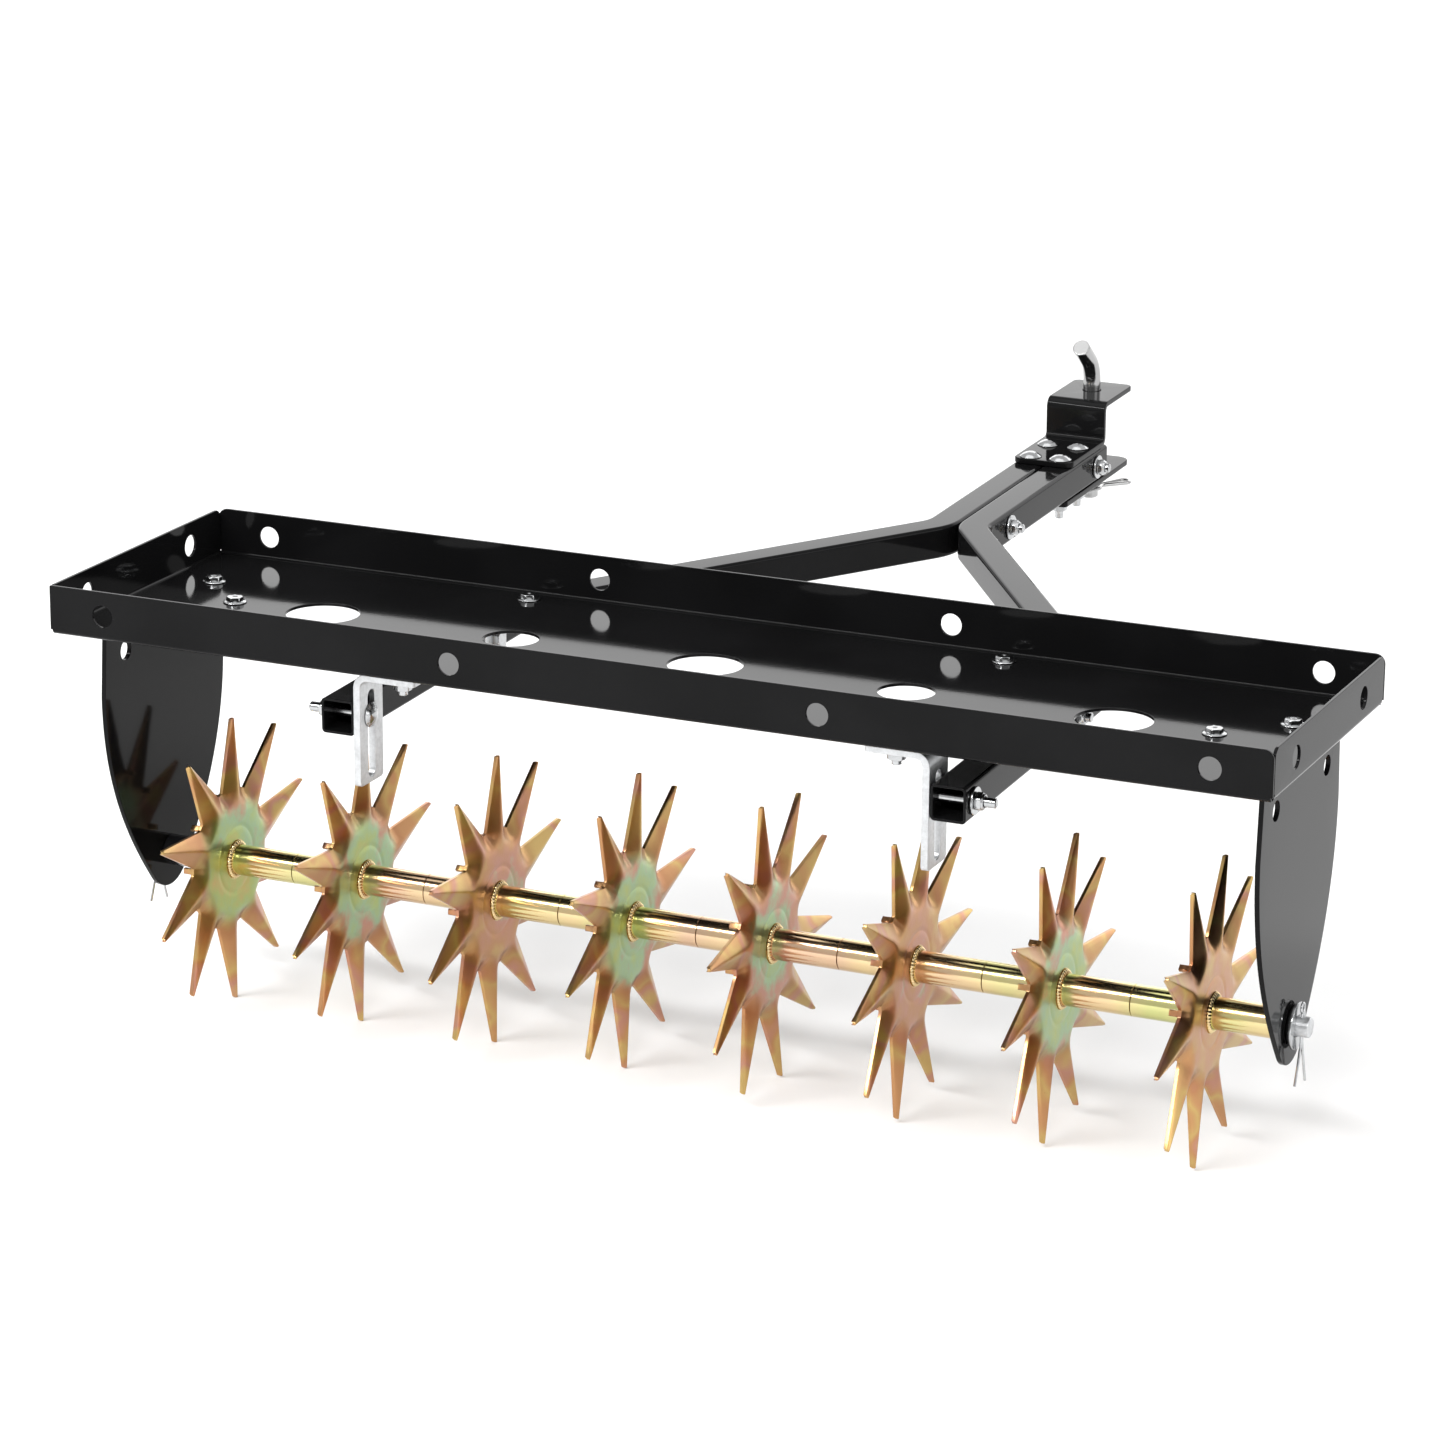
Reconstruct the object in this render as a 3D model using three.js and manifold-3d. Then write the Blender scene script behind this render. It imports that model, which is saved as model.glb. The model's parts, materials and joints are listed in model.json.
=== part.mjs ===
// Tow-behind spike aerator: eight ten-spike star wheels on an axle under a weight tray,
// pulled by a pair of bent tow bars that hinge under the tray.
// Millimetres, +Z up, +Y the way it is towed, +X to the right. The origin is the middle of
// the footprint, on the ground.
import * as THREE from "three";
import { mergeVertices } from "three/addons/utils/BufferGeometryUtils.js";
import Module from "manifold-3d";

const wasm = await Module();
wasm.setup();

// Fits
const GAP = 0.3; // between pieces that rest on each other
const BOLT_CLEARANCE = 0.45; // radial, round every bolt
const AXLE_CLEARANCE = 0.5; // radial, round the axle

// Weight tray
const TRAY_LENGTH = 1016;
const TRAY_WIDTH = 272;
const TRAY_HEIGHT = 40;
const TRAY_SHEET = 2.5;
const TRAY_CORNER = 8;
const CORNER_SLIT = 0.7;
const WALL_HOLE = 18;
const WALL_HOLE_OUTER = 48; // from the tray's end
const WALL_HOLE_INNER = 153.5; // from the tray's middle
const END_HOLE_INSET = 54; // from the tray's long sides
const FLOOR_HOLE_END = 170; // the outer holes, from the tray's ends
const FLOOR_HOLE_PITCH = (TRAY_LENGTH / 2 - FLOOR_HOLE_END) / 2;
const FLOOR_HOLE_FORWARD = 3;
const FLOOR_HOLE_LARGE = 60;
const FLOOR_HOLE_SMALL = 45;

// Side plates
const PLATE_SHEET = 4;
const PLATE_INBOARD = 20;
const PLATE_OUTER_X = TRAY_LENGTH / 2 - PLATE_INBOARD;
const PLATE_INNER_X = PLATE_OUTER_X - PLATE_SHEET;
const PLATE_HALF_WIDTH = 95.2;
const PLATE_FLANGE = 92;
const PLATE_HOLE = 16;
const PLATE_HOLE_OFFSET = 61.5;
const PLATE_HOLE_DEPTH = 30;
const PLATE_FOOT_RADIUS = 31;
const PLATE_SHOULDER = 62; // straight this far down
const PLATE_BOLTS = [
  { inset: 24, forward: 48 },
  { inset: 70, forward: 1 },
];

// Axle and star wheels
const AXLE_Y = TRAY_WIDTH / 2;
const AXLE_Z = -217.5;
const AXLE_RADIUS = 8;
const AXLE_END = 15; // past the side plate
const STAR_COUNT = 8;
const STAR_RADIUS = 121;
const STAR_SHEET = 3;
const SPIKES = 10;
const SPIKE_ROOT_RADIUS = 59.3;
const DISC_RADIUS = 44.8; // flat inside this
const EAR_RADIUS = 55;
const EAR_HEIGHT = 3.6;
const EAR_WIDTH = 5;
const EAR_DEPTH = 10; // behind the valleys' front
const SPIKE_SWEEP = 4; // degrees that a tip trails its root
const SPIKE_FOLD = 6.5; // how far a spike's edges are bent back at its root
const HUB_WALL = 4.2;
const HUB_BORE = AXLE_RADIUS + AXLE_CLEARANCE;
const HUB_RADIUS = HUB_BORE + HUB_WALL;
const STAR_ALONG_HUB = 0.52;
const STAR_TURN = [1.0, 3.4, 1.9, 6.3, 25.8, 14.4, 13.8, 12.1]; // degrees, each star as it stopped
const BUSH_CLEARANCE = 0.3; // radial, inside and outside the bush
const BUSH_WALL = 1.9;
const BUSH_RADIUS = AXLE_RADIUS + BUSH_CLEARANCE + BUSH_WALL;
const BUSH_FLANGE = 2;
const BUSH_FLANGE_RADIUS = 15;
const AXLE_WASHER = 2.5;
const AXLE_WASHER_RADIUS = 18.5;
const COTTER_WIRE = 1.05;
const COTTER_DROP = 48;

// Tow bars, level before the tongue is turned about its hinge
const BAR = 28.5;
const BAR_WALL = 2.2;
const BAR_CHAMFER = 3;
const BAR_REAR_X = 255.5;
const BAR_NOSE_X = BAR / 2 + 0.2;
const HINGE_INSET = 24;
const HINGE_Y = TRAY_WIDTH - HINGE_INSET;
const HINGE_Z = -33.6;
const STRAP_Y = 27.4;
const SLOT_BACKSET = 1.4; // slot centre ahead of the bolt, which the tongue's tilt draws forward
const SLOT_BOLT = STRAP_Y - HINGE_Y - SLOT_BACKSET; // all along the tow bars is measured from the hinge
const BAR_REAR = SLOT_BOLT - 16.6;
const BAR_BEND_REAR = 66.6;
const BAR_BEND_NOSE = 424;
const BAR_NOSE = 730;
const BAR_BEND_RADIUS = 45;
const TONGUE_RISE = 1.15; // degrees
const CLAMP_BOLTS = [480, 702];
const HITCH_BOLTS = [644, 689.5];

// Lift straps and hinge brackets
const STRAP = 6;
const STRAP_WIDTH = 38;
const STRAP_DROP = 93;
const STRAP_REACH = 53;
const SLOT_PLAY = 3.4; // the slot is this much wider than its bolt
const SLOT_TOP = -18;
const SLOT_BOTTOM = -89;
const STRAP_BOLT_INSET = 34.25; // from the tow bar's inner face
const STRAP_BOLT_X = BAR_REAR_X - BAR / 2 - STRAP_BOLT_INSET;
const BRACKET = 4;
const BRACKET_DROP = 54;
const BRACKET_REACH = 50;

// Hitch
const HITCH_PLATE = 5;
const HITCH_HALF_WIDTH = 28.5;
const HITCH_REAR = 634;
const HITCH_RISER = 721;
const HITCH_FRONT = 797;
const HITCH_RISE = 36;
const HITCH_LOWER_REAR = 624;
const PIN_ALONG = 764;
const PIN_RADIUS = 8;
const PIN_BOTTOM = -47;
const PIN_ABOVE = 8; // straight above the upper bracket
const PIN_BEND = 52; // degrees that the top is bent back
const PIN_BEND_RADIUS = 30;
const PIN_GRIP = 26; // straight past the bend
const CLIP_WIRE = 1.8;
const CLIP_BELOW = -38;
const CLIP_TURN = 28; // degrees from straight ahead

// Bolts
const BOLT_RADIUS = 4;
const SLOT_WIDTH = 2 * BOLT_RADIUS + SLOT_PLAY;
const NUT_ACROSS = 13;
const NUT_HEIGHT = 6.5;
const DOME_RADIUS = 10;
const DOME_HEIGHT = 4.5;
const FLANGE_HEAD_RADIUS = 9.5;

const ROUND = 16; // sides of a coarse round
const PLAIN = { bevelEnabled: false, curveSegments: 6 }; // how outlines are extruded
const BLACK = { color: 0x17181a, roughness: 0.28, metalness: 0.0 };
const ZINC = { color: 0xc9ccd0, roughness: 0.28, metalness: 1.0 };
const YELLOW_ZINC = { color: 0xb59a5a, roughness: 0.3, metalness: 1.0 };
const NYLON = { color: 0x101112, roughness: 0.55, metalness: 0.0 };

const rad = THREE.MathUtils.degToRad;

// ---- solids ----

function toSolid(geometry) {
  const bare = geometry.clone();
  bare.deleteAttribute("normal");
  bare.deleteAttribute("uv");
  const merged = mergeVertices(bare, 1e-4);
  const index = merged.index.array;
  return new wasm.Manifold(new wasm.Mesh({
    numProp: 3,
    vertProperties: new Float32Array(merged.attributes.position.array),
    triVerts: new Uint32Array(index),
  }));
}

function fromSolid(solid) {
  const mesh = solid.getMesh();
  const geometry = new THREE.BufferGeometry();
  geometry.setAttribute("position", new THREE.Float32BufferAttribute(mesh.vertProperties, 3));
  geometry.setIndex(Array.from(mesh.triVerts));
  geometry.computeVertexNormals();
  return geometry;
}

function join(first, ...others) {
  return fromSolid(others.reduce((sum, other) => sum.add(toSolid(other)), toSolid(first)));
}

function cut(body, ...tools) {
  return fromSolid(tools.reduce((rest, tool) => rest.subtract(toSolid(tool)), toSolid(body)));
}

function common(body, other) {
  return fromSolid(toSolid(body).intersect(toSolid(other)));
}

function block(x0, x1, y0, y1, z0, z1) {
  const geometry = new THREE.BoxGeometry(x1 - x0, y1 - y0, z1 - z0);
  return geometry.translate((x0 + x1) / 2, (y0 + y1) / 2, (z0 + z1) / 2);
}

// A rod from `start` to `end` along an axis, its middle at the other two coordinates.
function rod(axis, radius, start, end, middle, sides = 12) {
  const geometry = new THREE.CylinderGeometry(radius, radius, end - start, sides);
  geometry.rotateY(Math.PI / sides);
  return along(geometry.translate(0, (start + end) / 2, 0), axis, middle);
}

// A tool for a bolt hole, whose flats clear the bolt.
function boltHole(axis, start, end, middle) {
  return rod(axis, (BOLT_RADIUS + BOLT_CLEARANCE) / Math.cos(Math.PI / 8), start, end, middle, 8);
}

// Turns a geometry made about +Y so that it lies along an axis.
function along(geometry, axis, middle) {
  if (axis === "x") {
    geometry.rotateZ(-Math.PI / 2);
    return geometry.translate(0, middle[0], middle[1]);
  }
  if (axis === "z") {
    geometry.rotateX(Math.PI / 2);
    return geometry.translate(middle[0], middle[1], 0);
  }
  return geometry.translate(middle[0], 0, middle[1]);
}

// A turned shape: pairs of [radius, place along the axis].
function turned(axis, profile, middle, sides = ROUND) {
  const points = profile.map(([radius, place]) => new THREE.Vector2(radius, place));
  return along(new THREE.LatheGeometry(points, sides), axis, middle);
}

// Places a flat outline drawn in (across, up) as a sheet between two X values.
function sheetAcrossX(shape, x0, x1) {
  const geometry = new THREE.ExtrudeGeometry(shape, { depth: x1 - x0, ...PLAIN });
  geometry.applyMatrix4(new THREE.Matrix4().set(
    0, 0, 1, x0,
    1, 0, 0, 0,
    0, 1, 0, 0,
    0, 0, 0, 1,
  ));
  return geometry;
}

// Places a flat outline drawn in (x, z) as a sheet between two Y values.
function sheetAcrossY(shape, y0, y1) {
  const geometry = new THREE.ExtrudeGeometry(shape, { depth: y1 - y0, ...PLAIN });
  geometry.rotateX(Math.PI / 2);
  return geometry.translate(0, y1, 0);
}

// Places a flat outline drawn in (x, y) as a sheet between two heights.
function sheetFlat(shape, z0, z1) {
  const geometry = new THREE.ExtrudeGeometry(shape, { depth: z1 - z0, ...PLAIN });
  return geometry.translate(0, 0, z0);
}

function arcPoints(middle, radius, from, to, steps) {
  const turns = Array.from({ length: steps + 1 }, (_, step) => from + ((to - from) * step) / steps);
  return turns.map((angle) => [middle[0] + radius * Math.cos(angle), middle[1] + radius * Math.sin(angle)]);
}

function arc(shape, x, y, radius, from, to, steps = 4) {
  arcPoints([x, y], radius, from, to, steps).forEach(([across, up]) => shape.lineTo(across, up));
}

function roundedRectangle(x0, x1, y0, y1, rear, front) {
  const shape = new THREE.Shape();
  shape.moveTo(x0 + rear, y0);
  arc(shape, x1 - rear, y0 + rear, rear, -Math.PI / 2, 0);
  arc(shape, x1 - front, y1 - front, front, 0, Math.PI / 2);
  arc(shape, x0 + front, y1 - front, front, Math.PI / 2, Math.PI);
  arc(shape, x0 + rear, y0 + rear, rear, Math.PI, 1.4 * Math.PI, 3);
  return shape;
}

// A round hole whose flats clear its full radius.
function roundHole(shape, x, y, radius, sides = 12) {
  const corners = arcPoints([x, y], radius / Math.cos(Math.PI / sides), 0, -2 * Math.PI, sides).slice(1);
  shape.holes.push(new THREE.Path(corners.map(([across, up]) => new THREE.Vector2(across, up))));
}

// Sweeps closed section rings along a flat path. `side` is the section's level direction at
// each point and `lift` the one that stays fixed; rings with a bore leave the ends open.
function sweep(path, side, lift, outer, bore = null) {
  const rings = bore ? [outer, bore] : [outer];
  const count = outer.length;
  const positions = [];
  const triangles = [];
  rings.forEach((ring) => path.forEach((point, step) => ring.forEach(([across, up]) => {
    const place = point.clone().addScaledVector(side[step], across).addScaledVector(lift, up);
    positions.push(place.x, place.y, place.z);
  })));
  const at = (ring, step, corner) => (ring * path.length + step) * count + (corner % count);
  const quad = (a, b, c, d) => triangles.push(a, b, c, a, c, d);
  const last = path.length - 1;
  for (let corner = 0; corner < count; corner += 1) {
    for (let step = 0; step < last; step += 1) {
      const next = step + 1;
      quad(at(0, step, corner), at(0, step, corner + 1), at(0, next, corner + 1), at(0, next, corner));
      if (bore) {
        quad(at(1, step, corner + 1), at(1, step, corner), at(1, next, corner), at(1, next, corner + 1));
      }
    }
    if (bore) {
      quad(at(0, 0, corner + 1), at(0, 0, corner), at(1, 0, corner), at(1, 0, corner + 1));
      quad(at(0, last, corner), at(0, last, corner + 1), at(1, last, corner + 1), at(1, last, corner));
    }
  }
  if (!bore) {
    for (let corner = 1; corner < count - 1; corner += 1) {
      triangles.push(at(0, 0, 0), at(0, 0, corner + 1), at(0, 0, corner));
      triangles.push(at(0, last, 0), at(0, last, corner), at(0, last, corner + 1));
    }
  }
  const geometry = new THREE.BufferGeometry();
  geometry.setAttribute("position", new THREE.Float32BufferAttribute(positions, 3));
  geometry.setIndex(triangles);
  geometry.computeVertexNormals();
  return geometry;
}

// The section direction at each point of a path, square to its run and mitred at the corners.
function mitred(path, lift) {
  const runs = path.slice(1).map((point, step) => point.clone().sub(path[step]).normalize());
  return path.map((point, step) => {
    const before = runs[Math.max(step - 1, 0)];
    const after = runs[Math.min(step, runs.length - 1)];
    const run = before.clone().add(after).normalize();
    const stretch = 1 / run.dot(before);
    return lift.clone().cross(run).multiplyScalar(stretch);
  });
}

function roundSection(radius, sides) {
  const turn = (2 * Math.PI) / sides;
  const corners = Array.from({ length: sides }, (_, corner) => corner * turn);
  return corners.map((angle) => [radius * Math.cos(angle), radius * Math.sin(angle)]);
}

// A wire or rod of round section along points of a flat path.
function wire(points, radius, lift, sides) {
  return sweep(points, mitred(points, lift), lift, roundSection(radius, sides));
}

// ---- weight tray ----

function wallShape(halfLength, holes) {
  const shape = new THREE.Shape();
  shape.moveTo(-halfLength, 0);
  shape.lineTo(halfLength, 0);
  shape.lineTo(halfLength, TRAY_HEIGHT - TRAY_CORNER);
  arc(shape, halfLength - TRAY_CORNER, TRAY_HEIGHT - TRAY_CORNER, TRAY_CORNER, 0, Math.PI / 2);
  shape.lineTo(TRAY_CORNER - halfLength, TRAY_HEIGHT);
  arc(shape, TRAY_CORNER - halfLength, TRAY_HEIGHT - TRAY_CORNER, TRAY_CORNER, Math.PI / 2, Math.PI);
  holes.forEach((place) => roundHole(shape, place, TRAY_HEIGHT / 2, WALL_HOLE / 2));
  return shape;
}

function trayBoltPlaces() {
  const places = [];
  [-1, 1].forEach((hand) => {
    PLATE_BOLTS.forEach(({ inset, forward }) => {
      places.push([hand * (PLATE_OUTER_X - inset), AXLE_Y + forward]);
    });
    places.push([hand * STRAP_BOLT_X, STRAP_Y]);
    places.push([hand * STRAP_BOLT_X, HINGE_Y]);
  });
  return places;
}

function makeTray() {
  const half = TRAY_LENGTH / 2;
  const floor = new THREE.Shape();
  floor.moveTo(-half, 0);
  floor.lineTo(half, 0);
  floor.lineTo(half, TRAY_WIDTH);
  floor.lineTo(-half, TRAY_WIDTH);
  [-2, -1, 0, 1, 2].forEach((place) => {
    const size = place % 2 === 0 ? FLOOR_HOLE_LARGE : FLOOR_HOLE_SMALL;
    roundHole(floor, place * FLOOR_HOLE_PITCH, TRAY_WIDTH / 2 + FLOOR_HOLE_FORWARD, size / 2);
  });
  trayBoltPlaces().forEach(([x, y]) => roundHole(floor, x, y, BOLT_RADIUS + BOLT_CLEARANCE, 8));
  const outer = half - WALL_HOLE_OUTER;
  const long = wallShape(half, [-outer, -WALL_HOLE_INNER, WALL_HOLE_INNER, outer]);
  const middle = TRAY_WIDTH / 2;
  const endHole = middle - END_HOLE_INSET;
  const end = wallShape(middle - TRAY_SHEET - CORNER_SLIT, [-endHole, endHole]);
  return join(
    sheetFlat(floor, 0, TRAY_SHEET),
    sheetAcrossY(long, 0, TRAY_SHEET),
    sheetAcrossY(long, TRAY_WIDTH - TRAY_SHEET, TRAY_WIDTH),
    sheetAcrossX(end, -half, TRAY_SHEET - half).translate(0, middle, 0),
    sheetAcrossX(end, half - TRAY_SHEET, half).translate(0, middle, 0),
  );
}

// ---- side plates ----

// Straight sides at the top, then a curve that closes on the round foot below the axle.
function plateShape() {
  const top = -GAP;
  const shoulder = -PLATE_SHOULDER;
  const shape = new THREE.Shape();
  const footTurn = rad(38);
  const footX = PLATE_FOOT_RADIUS * Math.cos(footTurn);
  const footZ = AXLE_Z - PLATE_FOOT_RADIUS * Math.sin(footTurn);
  const flank = 0.43 * (shoulder - footZ); // length of the curve's handles
  shape.moveTo(-PLATE_HALF_WIDTH, top);
  shape.lineTo(-PLATE_HALF_WIDTH, shoulder);
  shape.bezierCurveTo(
    -PLATE_HALF_WIDTH, shoulder - flank,
    -footX - 0.5 * flank, footZ + 0.62 * flank,
    -footX, footZ,
  );
  arc(shape, 0, AXLE_Z, PLATE_FOOT_RADIUS, Math.PI + footTurn, 2 * Math.PI - footTurn);
  shape.bezierCurveTo(
    footX + 0.5 * flank, footZ + 0.62 * flank,
    PLATE_HALF_WIDTH, shoulder - flank,
    PLATE_HALF_WIDTH, shoulder,
  );
  shape.lineTo(PLATE_HALF_WIDTH, top);
  roundHole(shape, -PLATE_HOLE_OFFSET, -PLATE_HOLE_DEPTH, PLATE_HOLE / 2);
  roundHole(shape, PLATE_HOLE_OFFSET, -PLATE_HOLE_DEPTH, PLATE_HOLE / 2);
  roundHole(shape, 0, AXLE_Z, BUSH_RADIUS + BUSH_CLEARANCE);
  return shape;
}

function makeSidePlate(hand) {
  const inner = Math.min(hand * PLATE_INNER_X, hand * PLATE_OUTER_X);
  const web = sheetAcrossX(plateShape(), inner, inner + PLATE_SHEET).translate(0, AXLE_Y, 0);
  const near = hand * PLATE_OUTER_X;
  const far = hand * (PLATE_OUTER_X - PLATE_FLANGE);
  const flange = block(
    Math.min(near, far), Math.max(near, far),
    AXLE_Y - PLATE_HALF_WIDTH, AXLE_Y + PLATE_HALF_WIDTH,
    -GAP - PLATE_SHEET, -GAP,
  );
  const holes = PLATE_BOLTS.map(({ inset, forward }) => boltHole(
    "z", -GAP - 2 * PLATE_SHEET, PLATE_SHEET, [hand * (PLATE_OUTER_X - inset), AXLE_Y + forward],
  ));
  return cut(join(web, flange), ...holes);
}

// ---- star wheels ----

// The folded star: a flat middle and ten spikes, each bent back along a central ridge.
function starSheet() {
  const step = (2 * Math.PI) / SPIKES;
  const root = rad(SPIKE_SWEEP);
  const front = [];
  const spot = (radius, angle, side, x) => {
    const along = radius * Math.sin(angle) + side * Math.cos(angle);
    const up = radius * Math.cos(angle) - side * Math.sin(angle);
    front.push([x, along, up]);
    return front.length - 1;
  };
  const spikes = Array.from({ length: SPIKES }, (_, number) => {
    const tip = number * step;
    const base = tip + root;
    return {
      boreValley: spot(HUB_RADIUS - 2, base - step / 2, 0, 0),
      boreRidge: spot(HUB_RADIUS - 2, base, 0, 0),
      discValley: spot(DISC_RADIUS, base - step / 2, 0, 0),
      discRidge: spot(DISC_RADIUS, base, 0, 0),
      valleyBefore: spot(SPIKE_ROOT_RADIUS, base - 0.41 * step, 0, -SPIKE_FOLD),
      valleyAfter: spot(SPIKE_ROOT_RADIUS, base + 0.41 * step, 0, -SPIKE_FOLD),
      tip: spot(STAR_RADIUS, tip, 0, -1),
      tipBefore: spot(STAR_RADIUS - 1, tip, -1.7, -2.4),
      tipAfter: spot(STAR_RADIUS - 1, tip, 1.7, -2.4),
    };
  });
  const back = front.map(([x, y, z]) => [x - STAR_SHEET, y, z]);
  const count = front.length;
  const triangles = [];
  const face = (...ring) => {
    for (let corner = 1; corner < ring.length - 1; corner += 1) {
      triangles.push(ring[0], ring[corner + 1], ring[corner]);
      triangles.push(ring[0] + count, ring[corner] + count, ring[corner + 1] + count);
    }
  };
  const rim = (...line) => {
    for (let place = 0; place < line.length - 1; place += 1) {
      const [a, b] = [line[place], line[place + 1]];
      triangles.push(a, b, b + count, a, b + count, a + count);
    }
  };
  spikes.forEach((spike, number) => {
    const next = spikes[(number + 1) % SPIKES];
    face(spike.boreValley, spike.discValley, spike.discRidge, spike.boreRidge);
    face(spike.boreRidge, spike.discRidge, next.discValley, next.boreValley);
    face(spike.discValley, spike.valleyBefore, spike.discRidge);
    face(spike.discRidge, spike.valleyBefore, spike.tipBefore, spike.tip);
    face(spike.discRidge, spike.tip, spike.tipAfter, spike.valleyAfter);
    face(spike.discRidge, spike.valleyAfter, next.discValley);
    face(next.discValley, spike.valleyAfter, next.valleyBefore);
    rim(spike.valleyBefore, spike.tipBefore, spike.tip);
    rim(spike.tip, spike.tipAfter, spike.valleyAfter, next.valleyBefore);
    rim(next.boreValley, spike.boreRidge, spike.boreValley);
  });
  const geometry = new THREE.BufferGeometry();
  geometry.setAttribute("position", new THREE.Float32BufferAttribute([...front, ...back].flat(), 3));
  geometry.setIndex(triangles);
  geometry.computeVertexNormals();
  return geometry;
}

// Small square ears bent back between the spikes.
function starEars() {
  return Array.from({ length: SPIKES }, (_, number) => {
    const ear = block(
      -SPIKE_FOLD - EAR_DEPTH, -SPIKE_FOLD - 1,
      -EAR_WIDTH / 2, EAR_WIDTH / 2,
      EAR_RADIUS, EAR_RADIUS + EAR_HEIGHT,
    );
    const turn = ((number + 0.5) * 2 * Math.PI) / SPIKES + rad(SPIKE_SWEEP);
    return ear.rotateX(-turn);
  });
}

function makeStar(hubLength) {
  const rear = -STAR_ALONG_HUB * hubLength;
  const front = rear + hubLength;
  const hub = turned("x", [
    [HUB_BORE, rear], [HUB_RADIUS, rear], [HUB_RADIUS, front], [HUB_BORE, front], [HUB_BORE, rear],
  ], [0, 0], 2 * SPIKES);
  return join(starSheet(), hub, ...starEars());
}

// ---- axle ----

function makeAxle() {
  const end = PLATE_OUTER_X + AXLE_END;
  const bar = rod("x", AXLE_RADIUS, -end, end, [AXLE_Y, AXLE_Z], ROUND);
  const holes = [-1, 1].map((hand) => rod(
    "z", 2 * COTTER_WIRE + 0.45, AXLE_Z - 12, AXLE_Z + 12, [hand * cotterX(), AXLE_Y],
  ));
  return cut(bar, ...holes);
}

function cotterX() {
  return PLATE_OUTER_X + 2 * GAP + BUSH_FLANGE + AXLE_WASHER + 2 * COTTER_WIRE + 0.9;
}

function makeBush(hand) {
  const outer = hand * (PLATE_OUTER_X + GAP + BUSH_FLANGE);
  const seat = hand * (PLATE_OUTER_X + GAP);
  const inner = hand * (PLATE_INNER_X + GAP);
  const bore = AXLE_RADIUS + BUSH_CLEARANCE;
  const profile = [
    [bore, inner], [BUSH_RADIUS, inner], [BUSH_RADIUS, seat],
    [BUSH_FLANGE_RADIUS, seat], [BUSH_FLANGE_RADIUS, outer], [bore, outer], [bore, inner],
  ];
  return turned("x", hand > 0 ? profile : profile.reverse(), [AXLE_Y, AXLE_Z]);
}

function ring(axis, bore, radius, start, end, middle, sides = ROUND) {
  const profile = [[bore, start], [radius, start], [radius, end], [bore, end], [bore, start]];
  return turned(axis, profile, middle, sides);
}

function makeAxleWasher(hand) {
  const start = PLATE_OUTER_X + 2 * GAP + BUSH_FLANGE;
  const ends = [hand * start, hand * (start + AXLE_WASHER)].sort((a, b) => a - b);
  return ring("x", AXLE_RADIUS + 0.4, AXLE_WASHER_RADIUS, ends[0], ends[1], [AXLE_Y, AXLE_Z]);
}

// A split pin: eye on top, two legs through the axle, spread below it.
function makeCotter(hand) {
  const eye = arcPoints([0, AXLE_RADIUS + 7], 3.6, rad(-60), rad(240), 8);
  const leg = COTTER_WIRE + 0.1;
  const outline = [
    [13, -COTTER_DROP], [leg, -AXLE_RADIUS - 4], [leg, AXLE_RADIUS + 2.5], ...eye,
    [-leg, AXLE_RADIUS + 2.5], [-leg, -AXLE_RADIUS - 4], [-13, 4 - COTTER_DROP],
  ];
  const points = outline.map(([y, z]) => new THREE.Vector3(hand * cotterX(), AXLE_Y + y, AXLE_Z + z));
  return wire(points, COTTER_WIRE, new THREE.Vector3(1, 0, 0), 6);
}

// ---- bolts ----

function hexagon(axis, start, end, middle) {
  return rod(axis, NUT_ACROSS / Math.sqrt(3), start, end, middle, 6);
}

// A nut with its bore, threaded on a bolt along an axis.
function makeNut(axis, start, hand, middle) {
  const ends = [start, start + hand * NUT_HEIGHT].sort((a, b) => a - b);
  const bore = rod(axis, (BOLT_RADIUS + 0.1) / Math.cos(Math.PI / 8), ends[0] - 1, ends[1] + 1, middle, 8);
  return cut(hexagon(axis, ends[0], ends[1], middle), bore);
}

// A round-headed bolt: head against `seat`, shank running the other way to `end`.
function domeBolt(axis, seat, end, middle) {
  const out = Math.sign(seat - end);
  const profile = [
    [0, end], [BOLT_RADIUS, end], [BOLT_RADIUS, seat], [DOME_RADIUS, seat],
    [0.93 * DOME_RADIUS, seat + out * 0.45 * DOME_HEIGHT],
    [0.6 * DOME_RADIUS, seat + out * 0.85 * DOME_HEIGHT], [0, seat + out * DOME_HEIGHT],
  ];
  return turned(axis, out > 0 ? profile : profile.reverse(), middle, 8);
}

function hexBolt(axis, seat, end, middle) {
  const out = Math.sign(seat - end);
  const shank = rod(axis, BOLT_RADIUS, Math.min(end, seat + out), Math.max(end, seat + out), middle, 8);
  const head = [seat, seat + out * 5.5].sort((a, b) => a - b);
  return join(shank, hexagon(axis, head[0], head[1], middle));
}

// A flange-headed bolt down through the tray floor, tightened with its nut.
function makeTrayBolt([x, y], grip) {
  const seat = TRAY_SHEET + GAP;
  const profile = [
    [0, grip - NUT_HEIGHT - 6], [BOLT_RADIUS, grip - NUT_HEIGHT - 6], [BOLT_RADIUS, seat],
    [FLANGE_HEAD_RADIUS, seat], [FLANGE_HEAD_RADIUS - 0.6, seat + 1.6], [7, seat + 4.6], [0, seat + 4.6],
  ];
  const nut = hexagon("z", grip - GAP - NUT_HEIGHT, grip - GAP, [x, y]);
  return join(turned("z", profile, [x, y], 8), nut);
}

// ---- straps and brackets under the tray ----

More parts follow.
